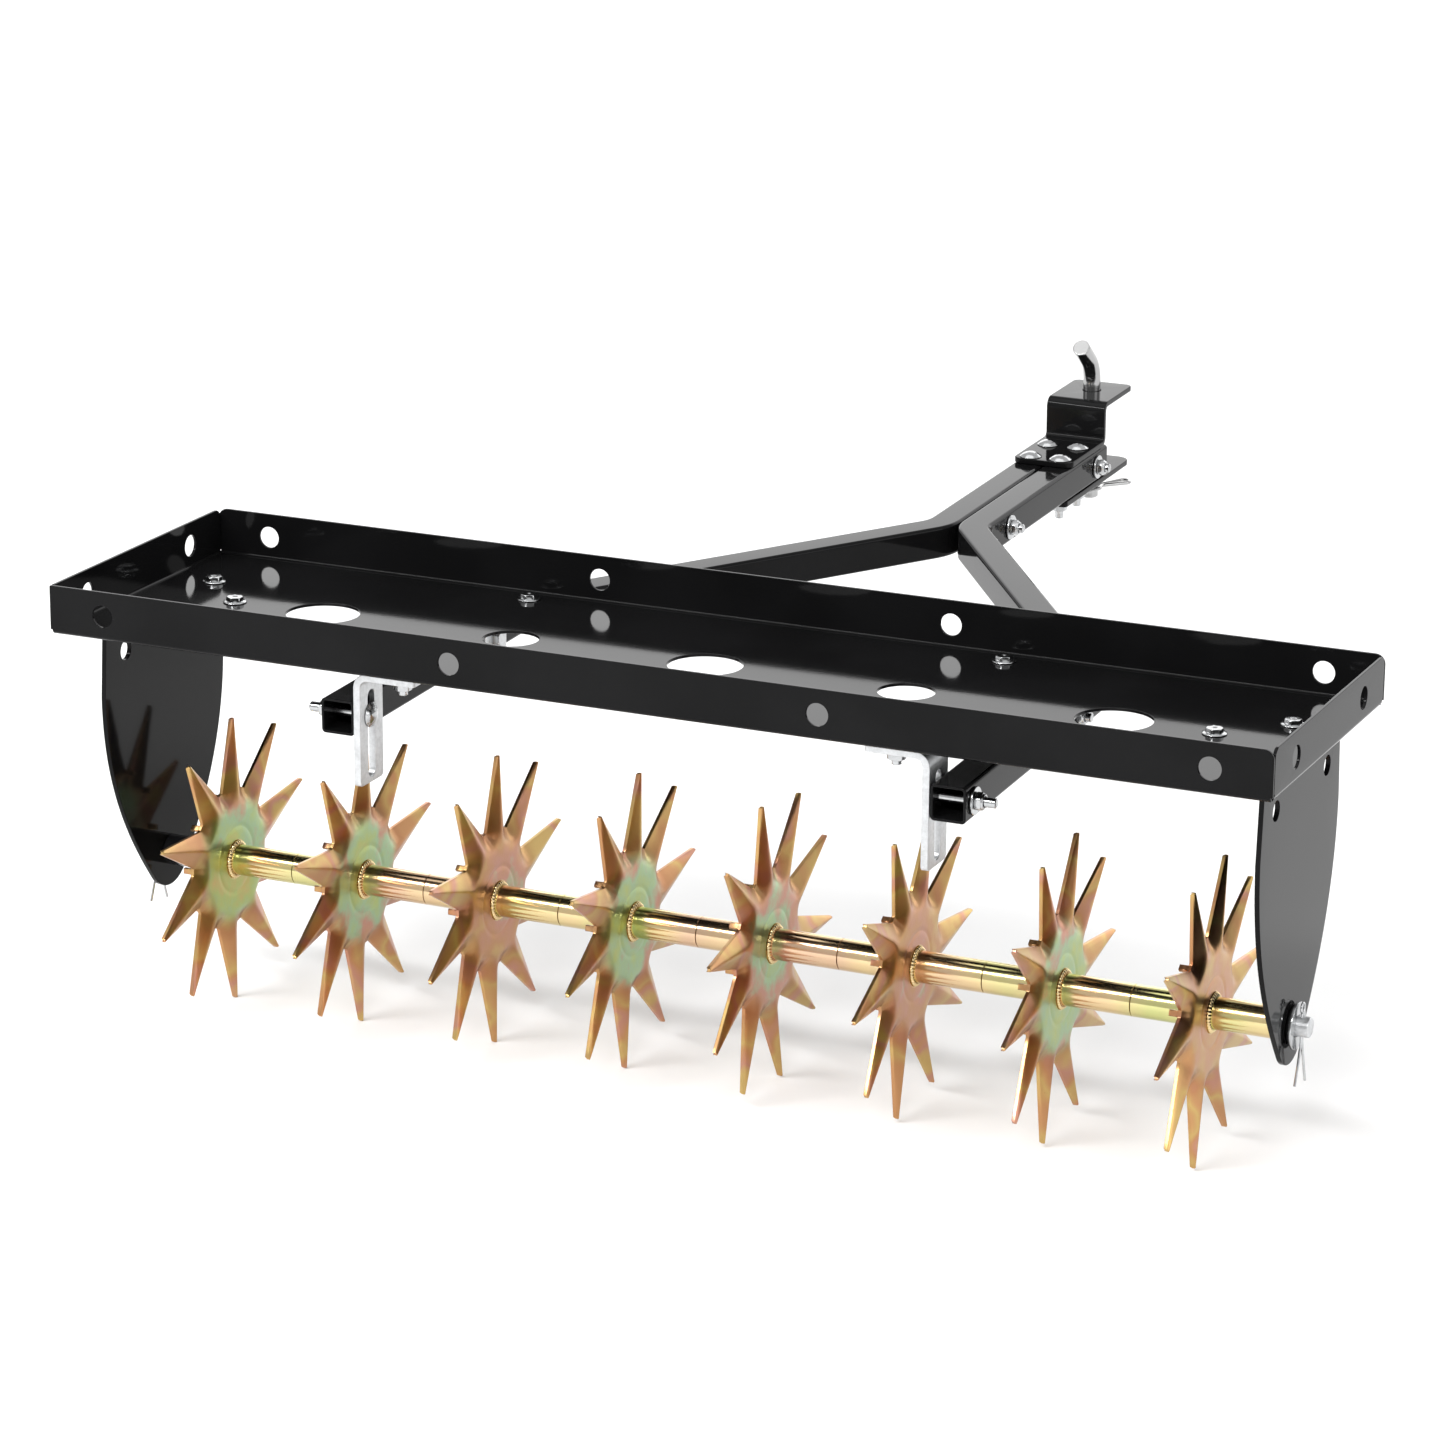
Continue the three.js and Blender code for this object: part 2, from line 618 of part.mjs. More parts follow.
// An angle of flat bar: one leg under the tray, the other hanging from its outer end.
function angleShape(reach, drop, thick, bend) {
  const shape = new THREE.Shape();
  shape.moveTo(-reach, 0);
  shape.lineTo(-reach, -thick);
  shape.lineTo(-bend, -thick);
  arc(shape, -bend, -bend, bend - thick, Math.PI / 2, 0);
  shape.lineTo(-thick, -drop);
  shape.lineTo(0, -drop);
  shape.lineTo(0, -bend);
  arc(shape, -bend, -bend, bend, 0, Math.PI / 2);
  return shape;
}

function angleBar(hand, reach, drop, thick, bend, y, width) {
  const outer = BAR_REAR_X - BAR / 2 - GAP;
  const geometry = sheetAcrossY(angleShape(reach, drop, thick, bend), -width / 2, width / 2);
  geometry.translate(outer, y, -GAP);
  return hand > 0 ? geometry : mirrored(geometry);
}

// The mirror image of a geometry across the middle of the machine.
function mirrored(geometry) {
  const copy = mergeVertices(stripped(geometry), 1e-4);
  copy.scale(-1, 1, 1);
  const index = copy.index.array;
  for (let corner = 0; corner < index.length; corner += 3) {
    [index[corner], index[corner + 1]] = [index[corner + 1], index[corner]];
  }
  copy.computeVertexNormals();
  return copy;
}

function stripped(geometry) {
  const bare = geometry.clone();
  bare.deleteAttribute("normal");
  bare.deleteAttribute("uv");
  return bare;
}

function makeStrap(hand) {
  const outer = hand * (BAR_REAR_X - BAR / 2);
  const body = angleBar(hand, STRAP_REACH, STRAP_DROP, STRAP, 12, STRAP_Y, STRAP_WIDTH);
  const half = SLOT_WIDTH / 2;
  const slot = roundedRectangle(STRAP_Y - half, STRAP_Y + half, SLOT_BOTTOM, SLOT_TOP, half - 0.01, half - 0.01);
  const opening = sheetAcrossX(slot, outer - 12, outer + 12);
  return cut(body, opening, boltHole("z", -12, 4, [hand * STRAP_BOLT_X, STRAP_Y]));
}

function makeHingeBracket(hand) {
  const outer = hand * (BAR_REAR_X - BAR / 2);
  const body = angleBar(hand, BRACKET_REACH, BRACKET_DROP, BRACKET, 8, HINGE_Y, STRAP_WIDTH);
  return cut(
    body,
    boltHole("x", outer - 12, outer + 12, [HINGE_Y, HINGE_Z]),
    boltHole("z", -12, 4, [hand * STRAP_BOLT_X, HINGE_Y]),
  );
}

function makeHingeBolt(hand) {
  const head = hand * (BAR_REAR_X - BAR / 2 - 2 * GAP - BRACKET);
  const end = hand * (BAR_REAR_X + BAR / 2 + GAP + NUT_HEIGHT + 5);
  return hexBolt("x", head, end, [HINGE_Y, HINGE_Z]);
}

function makeHingeNut(hand) {
  return makeNut("x", hand * (BAR_REAR_X + BAR / 2 + GAP), hand, [HINGE_Y, HINGE_Z]);
}

// ---- tongue, drawn level with the hinge at its origin ----

function barCentreLine() {
  const lean = Math.atan2(BAR_REAR_X - BAR_NOSE_X, BAR_BEND_NOSE - BAR_BEND_REAR);
  const setback = BAR_BEND_RADIUS * Math.tan(lean / 2);
  const rearMiddle = [BAR_REAR_X - BAR_BEND_RADIUS, BAR_BEND_REAR - setback];
  const rearArc = arcPoints(rearMiddle, BAR_BEND_RADIUS, 0, lean, 3);
  const noseArc = arcPoints(
    [BAR_NOSE_X + BAR_BEND_RADIUS, BAR_BEND_NOSE + setback], BAR_BEND_RADIUS, Math.PI + lean, Math.PI, 3,
  );
  const line = [[BAR_REAR_X, BAR_REAR], ...rearArc, ...noseArc, [BAR_NOSE_X, BAR_NOSE]];
  return line.map(([x, y]) => new THREE.Vector3(x, y, 0));
}

function squareSection(size, chamfer) {
  const h = size / 2;
  const c = h - chamfer;
  return [[h, -c], [h, c], [c, h], [-c, h], [-h, c], [-h, -c], [-c, -h], [c, -h]];
}

function makeTowBar(hand) {
  const path = barCentreLine();
  const lift = new THREE.Vector3(0, 0, 1);
  const bore = squareSection(BAR - 2 * BAR_WALL, BAR_CHAMFER - 0.6 * BAR_WALL);
  const tube = sweep(path, mitred(path, lift), lift, squareSection(BAR, BAR_CHAMFER), bore);
  const across = (at, x) => boltHole("x", x - BAR, x + BAR, [at, 0]);
  const right = cut(
    tube,
    across(SLOT_BOLT, BAR_REAR_X),
    across(0, BAR_REAR_X),
    ...CLAMP_BOLTS.map((at) => across(at, BAR_NOSE_X)),
    ...HITCH_BOLTS.map((at) => boltHole("z", -BAR, BAR, [BAR_NOSE_X, at])),
  );
  return hand > 0 ? right : mirrored(right);
}

function makeSlotBolt(hand) {
  const head = hand * (BAR_REAR_X - BAR / 2 - 2 * GAP - STRAP);
  const end = hand * (BAR_REAR_X + BAR / 2 + 2 * GAP + 2 + NUT_HEIGHT + 9);
  return domeBolt("x", head, end, [SLOT_BOLT, 0]);
}

function flatWasher(start, hand, middle) {
  const ends = [hand * start, hand * (start + 2)].sort((a, b) => a - b);
  return ring("x", BOLT_RADIUS + 0.3, 10.8, ends[0], ends[1], middle, 12);
}

function makeClampBolt(at) {
  const side = BAR_NOSE_X + BAR / 2 + GAP;
  return hexBolt("x", -side, side + 2 + GAP + NUT_HEIGHT + 4, [at, 0]);
}

// A Z-shaped bracket: rear leg on the bars, a riser, and a top plate over the draw gap.
function upperBracketProfile() {
  const low = BAR / 2 + GAP;
  const high = low + HITCH_RISE;
  const t = HITCH_PLATE;
  const out = 9;
  const shape = new THREE.Shape();
  shape.moveTo(HITCH_REAR, low);
  shape.lineTo(HITCH_RISER + t - out, low);
  arc(shape, HITCH_RISER + t - out, low + out, out, -Math.PI / 2, 0);
  shape.lineTo(HITCH_RISER + t, high - out + t);
  arc(shape, HITCH_RISER + out, high - out + t, out - t, Math.PI, Math.PI / 2);
  shape.lineTo(HITCH_FRONT, high);
  shape.lineTo(HITCH_FRONT, high + t);
  shape.lineTo(HITCH_RISER + out, high + t);
  arc(shape, HITCH_RISER + out, high - out + t, out, Math.PI / 2, Math.PI);
  shape.lineTo(HITCH_RISER, low + out);
  arc(shape, HITCH_RISER + t - out, low + out, out - t, 0, -Math.PI / 2);
  shape.lineTo(HITCH_REAR, low + t);
  return shape;
}

function hitchHoles() {
  const bolts = [-1, 1].flatMap((hand) => HITCH_BOLTS.map((at) => boltHole(
    "z", -BAR, 2 * BAR, [hand * BAR_NOSE_X, at],
  )));
  return [...bolts, rod("z", PIN_RADIUS + 0.6, -BAR, 4 * BAR, [0, PIN_ALONG], ROUND)];
}

function makeUpperBracket() {
  const strip = sheetAcrossX(upperBracketProfile(), -HITCH_HALF_WIDTH, HITCH_HALF_WIDTH);
  const plan = roundedRectangle(-HITCH_HALF_WIDTH, HITCH_HALF_WIDTH, HITCH_REAR, HITCH_FRONT, 8, 6);
  return cut(common(strip, sheetFlat(plan, 0, 4 * BAR)), ...hitchHoles());
}

function makeLowerPlate() {
  const plan = roundedRectangle(-HITCH_HALF_WIDTH, HITCH_HALF_WIDTH, HITCH_LOWER_REAR, HITCH_FRONT, 4, 12);
  const top = -BAR / 2 - GAP;
  return cut(sheetFlat(plan, top - HITCH_PLATE, top), ...hitchHoles());
}

function hitchBoltEnds() {
  const seat = BAR / 2 + 2 * GAP + HITCH_PLATE;
  return { seat, nut: -seat, end: -seat - NUT_HEIGHT - 9 };
}

// A round pin whose top is bent back over the bars as a handle.
function makeHitchPin() {
  const bendStart = BAR / 2 + GAP + HITCH_RISE + HITCH_PLATE + PIN_ABOVE;
  const bend = arcPoints([PIN_ALONG - PIN_BEND_RADIUS, bendStart], PIN_BEND_RADIUS, 0, rad(PIN_BEND), 5);
  const run = rad(PIN_BEND) + Math.PI / 2;
  const last = bend[bend.length - 1];
  const grip = [last[0] + PIN_GRIP * Math.cos(run), last[1] + PIN_GRIP * Math.sin(run)];
  const outline = [[PIN_ALONG, PIN_BOTTOM], ...bend, grip];
  const points = outline.map(([y, z]) => new THREE.Vector3(0, y, z));
  const body = wire(points, PIN_RADIUS, new THREE.Vector3(1, 0, 0), 12);
  const hole = rod("y", CLIP_WIRE + 0.5, -20, 20, [0, CLIP_BELOW]).rotateZ(-rad(CLIP_TURN));
  return cut(body, hole.translate(0, PIN_ALONG, 0));
}

// A hairpin clip: one straight leg through the pin, the other bowed round it.
function makeHitchClip() {
  const bow = PIN_RADIUS + CLIP_WIRE + 0.4;
  const outline = [
    [0, -14], [0, 36],
    ...arcPoints([5.5, 38], 5.5, Math.PI, rad(-20), 6),
    [7, 25], [3.8, 14], ...arcPoints([0, 0], bow, rad(48), 0, 3), [13, -15],
  ];
  const points = outline.map(([x, y]) => new THREE.Vector3(x, y, CLIP_BELOW));
  const clip = wire(points, CLIP_WIRE, new THREE.Vector3(0, 0, 1), 6);
  return clip.rotateZ(-rad(CLIP_TURN)).translate(0, PIN_ALONG, 0);
}

// ---- assembly ----

const machine = new THREE.Group();
const tongue = new THREE.Group();

function add(name, geometry, look, parent = machine) {
  const mesh = new THREE.Mesh(geometry, new THREE.MeshStandardMaterial(look));
  mesh.name = name;
  parent.add(mesh);
  return mesh;
}

const sides = [["left", -1], ["right", 1]];

add("weight_tray", makeTray(), BLACK);
const hubPitch = (2 * PLATE_INNER_X - GAP) / STAR_COUNT;
for (let number = 0; number < STAR_COUNT; number += 1) {
  const hubLength = hubPitch - GAP;
  const star = add(`star_wheel_${number + 1}`, makeStar(hubLength), YELLOW_ZINC);
  star.position.set(-PLATE_INNER_X + GAP + number * hubPitch + STAR_ALONG_HUB * hubLength, AXLE_Y, AXLE_Z);
  star.rotation.x = -rad(STAR_TURN[number]);
}
add("axle", makeAxle(), ZINC);

sides.forEach(([side, hand]) => {
  add(`side_plate_${side}`, makeSidePlate(hand), BLACK);
  add(`axle_bush_${side}`, makeBush(hand), NYLON);
  add(`axle_washer_${side}`, makeAxleWasher(hand), ZINC);
  add(`cotter_pin_${side}`, makeCotter(hand), ZINC);
  add(`lift_strap_${side}`, makeStrap(hand), ZINC);
  add(`hinge_bracket_${side}`, makeHingeBracket(hand), ZINC);
  add(`hinge_bolt_${side}`, makeHingeBolt(hand), ZINC);
  add(`hinge_nut_${side}`, makeHingeNut(hand), ZINC);
  PLATE_BOLTS.forEach(({ inset, forward }, number) => {
    const place = [hand * (PLATE_OUTER_X - inset), AXLE_Y + forward];
    add(`plate_bolt_${side}_${number + 1}`, makeTrayBolt(place, -GAP - PLATE_SHEET), ZINC);
  });
  const strapBolt = makeTrayBolt([hand * STRAP_BOLT_X, STRAP_Y], -GAP - STRAP);
  add(`strap_bolt_${side}`, strapBolt, ZINC);
  const bracketBolt = makeTrayBolt([hand * STRAP_BOLT_X, HINGE_Y], -GAP - BRACKET);
  add(`bracket_bolt_${side}`, bracketBolt, ZINC);

  add(`tow_bar_${side}`, makeTowBar(hand), BLACK, tongue);
  add(`slot_bolt_${side}`, makeSlotBolt(hand), ZINC, tongue);
  add(`slot_washer_${side}`, flatWasher(BAR_REAR_X + BAR / 2 + GAP, hand, [SLOT_BOLT, 0]), ZINC, tongue);
  const nutSeat = BAR_REAR_X + BAR / 2 + 2 * GAP + 2;
  add(`slot_nut_${side}`, makeNut("x", hand * nutSeat, hand, [SLOT_BOLT, 0]), ZINC, tongue);
  HITCH_BOLTS.forEach((at, number) => {
    const { seat, nut, end } = hitchBoltEnds();
    const middle = [hand * BAR_NOSE_X, at];
    add(`hitch_bolt_${side}_${number + 1}`, domeBolt("z", seat, end, middle), ZINC, tongue);
    add(`hitch_nut_${side}_${number + 1}`, makeNut("z", nut, -1, middle), ZINC, tongue);
  });
});

CLAMP_BOLTS.forEach((at, number) => {
  const side = BAR_NOSE_X + BAR / 2 + GAP;
  add(`clamp_bolt_${number + 1}`, makeClampBolt(at), ZINC, tongue);
  add(`clamp_washer_${number + 1}`, flatWasher(side, 1, [at, 0]), ZINC, tongue);
  add(`clamp_nut_${number + 1}`, makeNut("x", side + 2 + GAP, 1, [at, 0]), ZINC, tongue);
});
add("hitch_upper_bracket", makeUpperBracket(), BLACK, tongue);
add("hitch_lower_plate", makeLowerPlate(), BLACK, tongue);
add("hitch_pin", makeHitchPin(), ZINC, tongue);
add("hitch_clip", makeHitchClip(), ZINC, tongue);

tongue.position.set(0, HINGE_Y, HINGE_Z);
tongue.rotation.x = rad(TONGUE_RISE);
machine.add(tongue);

machine.updateMatrixWorld(true);
const extent = new THREE.Box3().setFromObject(machine, true);
const middle = extent.getCenter(new THREE.Vector3());
machine.position.set(-middle.x, -middle.y, -extent.min.z);

export default machine;
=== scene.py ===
"""Looks for a tow-behind spike aerator: folded sheet steel, pressed stars, tube, wire and fasteners."""
import json
import math

import bmesh
import bpy
from bpy.props import FloatProperty, FloatVectorProperty, PointerProperty
from mathutils import Matrix, Vector, geometry


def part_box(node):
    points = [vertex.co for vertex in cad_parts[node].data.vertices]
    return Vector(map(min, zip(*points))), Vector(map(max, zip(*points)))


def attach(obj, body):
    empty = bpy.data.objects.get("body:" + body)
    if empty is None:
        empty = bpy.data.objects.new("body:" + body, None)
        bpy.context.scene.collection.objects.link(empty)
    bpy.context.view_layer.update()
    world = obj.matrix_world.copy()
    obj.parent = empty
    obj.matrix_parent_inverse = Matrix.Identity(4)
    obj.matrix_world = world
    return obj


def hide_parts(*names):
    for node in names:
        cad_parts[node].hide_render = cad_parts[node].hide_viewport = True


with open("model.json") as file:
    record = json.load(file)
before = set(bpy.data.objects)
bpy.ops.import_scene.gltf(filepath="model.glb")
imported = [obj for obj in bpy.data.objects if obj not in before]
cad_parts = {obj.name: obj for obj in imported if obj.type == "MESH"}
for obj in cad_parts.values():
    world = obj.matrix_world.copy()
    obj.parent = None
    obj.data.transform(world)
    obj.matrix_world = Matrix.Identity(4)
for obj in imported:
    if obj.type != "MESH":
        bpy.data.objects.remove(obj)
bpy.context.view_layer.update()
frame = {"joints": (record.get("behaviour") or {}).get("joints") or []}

bl_info = {
    "name": "Spike Aerator",
    "version": (1, 0, 0),
    "blender": (4, 5, 0),
    "location": "3D View > Sidebar > Aerator",
    "description": "Builds the finished look of a tow-behind spike aerator around its packed frame",
    "category": "Add Mesh",
}

MM = 0.001
GAP = 0.3  # between pieces that rest on each other
JOINTS = {joint["name"]: joint for joint in frame["joints"]}
HANDS = (("left", -1), ("right", 1))
BEND_STEPS = 6


def box_mm(node):
    """The lowest and highest corners of a CAD node, in millimetres."""
    low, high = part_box(node)
    return low / MM, high / MM


def joint_mm(name):
    return Vector(JOINTS[name]["pos_m"]) / MM


# ---- sizes, in millimetres: read from the frame, or the same as the design's ----

TRAY_LOW, TRAY_HIGH = box_mm("weight_tray")
TRAY_SHEET = 2.5
TRAY_CORNER = 8.0
TRAY_NEAR_CORNER = 1.2  # the rear left corner is folded close
TRAY_SLIT = 0.7
TRAY_RELIEF = 3.0  # how far the corner slit is opened along the fold
TRAY_NOTCH = 0.3  # between that opening and the fold
WALL_HOLE = 18.0
WALL_HOLE_OUTER = 48.0  # from the tray's end
WALL_HOLE_INNER = 153.5  # from the tray's middle
END_HOLE_INSET = 54.0
FLOOR_HOLE_PITCH = 169.0
FLOOR_HOLE_FORWARD = 3.0
FLOOR_HOLES = (60.0, 45.0, 60.0, 45.0, 60.0)

PLATE_SHEET = 4.0
PLATE_BEND = 6.0
PLATE_CORNER = 6.0
PLATE_SHOULDER = 62.0  # below the tray, where the flanks begin to curve
PLATE_FOOT_RADIUS = 31.0
PLATE_FOOT_TURN = math.radians(38)
PLATE_HOLE = 16.0
PLATE_HOLE_OFFSET = 61.5
PLATE_HOLE_DEPTH = 30.0

AXLE = joint_mm("axle_spin")
AXLE_RADIUS = 8.0
BUSH_RADIUS = 10.2
BUSH_FLANGE = 2.0
STAR_COUNT = 8
STAR_SHEET = 3.0
STAR_RADIUS = 121.0
SPIKES = 10
SPIKE_STEP = 2 * math.pi / SPIKES
SPIKE_ROOT_RADIUS = 59.3
SPIKE_ROOT_SHARE = 0.41  # half a spike's root, as a share of the turn from spike to spike
SPIKE_SWEEP = math.radians(4)
SPIKE_FOLD = 6.5
SPIKE_STAGES = 12
TIP_HALF_WIDTH = 1.7
TIP_FOLD = 1.4
DISC_RADIUS = 44.8
DISC_RINGS = (12.0, 15.0, 19.0, 23.0, 25.5, 27.0, 28.5, 30.0, 32.5, 38.0, DISC_RADIUS)
ROOT_RINGS = (48.5, 52.0, 55.5, SPIKE_ROOT_RADIUS)
DIMPLE_RADIUS = 28.0
DIMPLE_DEPTH = 0.55
HUB_RADIUS = 12.7
HUB_BORE = 8.5
STAR_ALONG_HUB = 0.52
STAR_TONES = (0.33, 0.42, 0.76, 0.47, 0.60, 0.80, 0.45, 0.78)  # how far each star's film has coloured
STAR_TURN = (1.0, 3.4, 1.9, 6.3, 25.8, 14.4, 13.8, 12.1)
PAINTED_REFLECTION_END = -422.5  # the first hub's tube is coloured black up to here: a painted reflection of the black side plate
EAR_RADIUS = 55.0
EAR_HEIGHT = 3.6
EAR_WIDTH = 5.0
EAR_LENGTH = 9.0

HINGE = joint_mm("tongue_tilt")
TONGUE_RISE = math.asin(-JOINTS["hitch_pin_turn"]["axis"][1])
TONGUE = Matrix.Translation(HINGE) @ Matrix.Rotation(TONGUE_RISE, 4, "X")
BAR = 28.5
BAR_WALL = 2.2
BAR_CORNER = 3.2
BAR_REAR_X = 255.5
BAR_NOSE_X = BAR / 2 + 0.2
BAR_REAR = -238.6  # all along the tongue is measured from the hinge
BAR_BEND_REAR = 66.6
BAR_BEND_NOSE = 424.0
BAR_NOSE = 730.0
BAR_BEND_RADIUS = 45.0
CLAMP_BOLTS = (480.0, 702.0)
HITCH_BOLTS = (644.0, 689.5)
SLOT_BOLT = -222.0

STRAP = 6.0
STRAP_BEND = 12.0
SLOT_WIDTH = 11.4
SLOT_TOP = 18.0  # below the tray
SLOT_BOTTOM = 89.0
BRACKET = 4.0
BRACKET_BEND = 8.0
ANGLE_CORNERS = (3.0, 4.0)  # of a strap's or bracket's flange and foot
THICK_ROUNDING = 0.7  # of the edges of bar and plate

HITCH_PLATE = 5.0
HITCH_HALF_WIDTH = 28.5
HITCH_REAR = 634.0
HITCH_RISER = 721.0
HITCH_FRONT = 797.0
HITCH_RISE = 36.0
HITCH_BEND = 9.0
HITCH_LOWER_REAR = 624.0
PIN_ALONG = 764.0
PIN_RADIUS = 8.0
PIN_HOLE = PIN_RADIUS + 0.6
PIN_BOTTOM = -47.0
PIN_ABOVE = 8.0
PIN_BEND = math.radians(52)
PIN_BEND_RADIUS = 30.0
PIN_GRIP = 26.0
CLIP_WIRE = 1.8
CLIP_BELOW = -38.0
CLIP_TURN = math.radians(28)
CLIP_LOOP = 5.5
CLIP_LENGTH = 38.0
COTTER_WIRE = 1.05
COTTER_DROP = 48.0
COTTER_EYE = 3.6
COTTER_SPREAD = 13.0

BOLT_RADIUS = 4.0
NUT_ACROSS = 13.0
NUT_HEIGHT = 6.5
NUT_BORE = BOLT_RADIUS + 0.15
FLANGE_NUT_HEIGHT = 8.4
HEX_HEAD = 5.5
WASHER = 2.0
WASHER_RADIUS = 10.8
DOME_RADIUS = 10.0
DOME_HEIGHT = 4.5
FLANGE_RADIUS = 9.5
HEAD_HEIGHT = 4.6
THREAD = 16.0
HEX_THREAD = 14.0
THREAD_DEPTH = 0.62
TRAY_BOLT_TAIL = 6.0  # tails are what stands past a nut
PIVOT_BOLT_TAIL = 5.0
COACH_BOLT_TAIL = 9.0
CLAMP_BOLT_TAIL = 4.0


# ---- shader expressions ----


def arithmetic(operation, swapped=False):
    """A method that adds a Math node for a Python operator."""

    def method(self, other):
        first, second = (other, self) if swapped else (self, other)
        return self.shader.value("ShaderNodeMath", {0: first, 1: second}, operation=operation)

    return method


class Value:
    """A shader socket that adds Math nodes when it is used in an expression."""

    def __init__(self, shader, socket):
        self.shader = shader
        self.socket = socket

    __add__ = __radd__ = arithmetic("ADD")
    __sub__ = arithmetic("SUBTRACT")
    __rsub__ = arithmetic("SUBTRACT", swapped=True)
    __mul__ = __rmul__ = arithmetic("MULTIPLY")
    __pow__ = arithmetic("POWER")
    __truediv__ = arithmetic("DIVIDE")


class Shader:
    """The node tree of one material, built from expressions."""

    def __init__(self, name):
        self.material = bpy.data.materials.new(name)
        self.material.use_nodes = True
        self.tree = self.material.node_tree
        self.surface = self.tree.nodes["Principled BSDF"]
        self.position = self.value("ShaderNodeTexCoord", {}, "Object")

    def value(self, kind, inputs, output=0, stops=(), **settings):
        """Adds a node, with its settings before its sockets, and gives one of its outputs."""
        node = self.tree.nodes.new(kind)
        for name, setting in settings.items():
            setattr(node, name, setting)
        if stops:
            self.set_stops(node.color_ramp, stops)
        for key, value in inputs.items():
            self.feed(node.inputs[key], value)
        return Value(self, node.outputs[output])

    def set_stops(self, ramp, stops):
        while len(ramp.elements) < len(stops):
            ramp.elements.new(1.0)
        for element, (place, colour) in zip(ramp.elements, stops):
            element.position = place
            element.color = (*colour, 1.0)

    def feed(self, socket, value):
        if isinstance(value, Value):
            self.tree.links.new(value.socket, socket)
        else:
            socket.default_value = (*value, 1.0) if socket.type == "RGBA" else value

    def noise(self, scale, detail=3.0, roughness=0.5, position=None):
        inputs = {"Scale": scale, "Detail": detail, "Roughness": roughness}
        inputs["Vector"] = position or self.position
        return self.value("ShaderNodeTexNoise", inputs)

    def stretched(self, scale):
        """The position, scaled along each axis."""
        return self.value("ShaderNodeVectorMath", {0: self.position, 1: scale}, operation="MULTIPLY")

    def axis(self, name):
        return self.value("ShaderNodeSeparateXYZ", {0: self.position}, name)

    def ramp(self, factor, stops):
        return self.value("ShaderNodeValToRGB", {0: factor}, stops=stops)

    def between(self, value, start, end, low=0.0, high=1.0):
        """Runs smoothly from low to high as value runs from start to end."""
        inputs = {0: value, 1: start, 2: end, 3: low, 4: high}
        return self.value("ShaderNodeMapRange", inputs, interpolation_type="SMOOTHSTEP")

    def mix(self, factor, first, second):
        return self.value("ShaderNodeMix", {"Factor": factor, 6: first, 7: second}, 2, data_type="RGBA")

    def finish(self, colour, roughness, metallic=0.0, height=None, depth=0.0, index=1.5):
        """Feeds the surface, with an optional bump of that depth in metres."""
        inputs = {"Base Color": colour, "Roughness": roughness, "Metallic": metallic, "IOR": index}
        if height is not None:
            inputs["Normal"] = self.value("ShaderNodeBump", {"Height": height, "Distance": depth})
        for name, value in inputs.items():
            self.feed(self.surface.inputs[name], value)
        return self.material


# ---- finishes ----


def shade(colour, share):
    return tuple(share * part for part in colour)


def black_powder_coat(shader, finish):
    """Glossy black coat with a faint orange peel and a little cloudiness in its gloss."""
    cloud = shader.noise(9.0)
    speck = shader.noise(900.0, 2.0)
    colour = shader.mix(shader.between(cloud, 0.35, 0.65), finish.black, shade(finish.black, 0.7))
    roughness = finish.black_roughness + 0.02 * shader.between(cloud, 0.3, 0.7) + 0.02 * speck
    peel = shader.noise(330.0, 2.0)
    return shader.finish(colour, roughness, 0.0, peel, 0.00001, finish.black_index)


def bright_zinc(shader, finish):
    """Rolled steel bar with bright zinc plate: pale, a little mottled, softly streaked."""
    mottle = shader.noise(160.0, 6.0, 0.75)
    streak = shader.noise(60.0, 3.0, 0.5, shader.stretched((1.0, 14.0, 1.0)))
    colour = shader.mix(shader.between(mottle, 0.32, 0.68), shade(finish.zinc, 0.78), finish.zinc)
    roughness = 0.30 + 0.14 * mottle + 0.08 * streak
    return shader.finish(colour, roughness, 1.0, mottle + 0.5 * streak, 0.00006)


def zinc_fastener(shader, finish):
    """Pressed and rolled fasteners with bright zinc plate, shinier than the bar."""
    grain = shader.noise(260.0, 4.0, 0.6)
    colour = shader.mix(grain, shade(finish.zinc, 0.5), shade(finish.zinc, 0.95))
    return shader.finish(colour, 0.10 + 0.14 * grain, 1.0, grain, 0.00003)


def polished_pin(shader, finish):
    """Polished plate, close to a mirror, with faint marks round the rod."""
    marks = shader.noise(120.0, 3.0, 0.5, shader.stretched((1.0, 1.0, 6.0)))
    colour = shader.mix(marks, shade(finish.chrome, 0.82), finish.chrome)
    return shader.finish(colour, 0.08 + 0.14 * marks, 1.0, marks, 0.00003)


def black_nylon(shader, finish):
    """Moulded nylon: matt, with a fine even grain."""
    grain = shader.noise(1400.0, 2.0)
    colour = shader.mix(grain, finish.nylon_and_reflected_black, shade(finish.nylon_and_reflected_black, 1.6))
    return shader.finish(colour, 0.45 + 0.15 * grain, 0.0, grain, 0.00002)


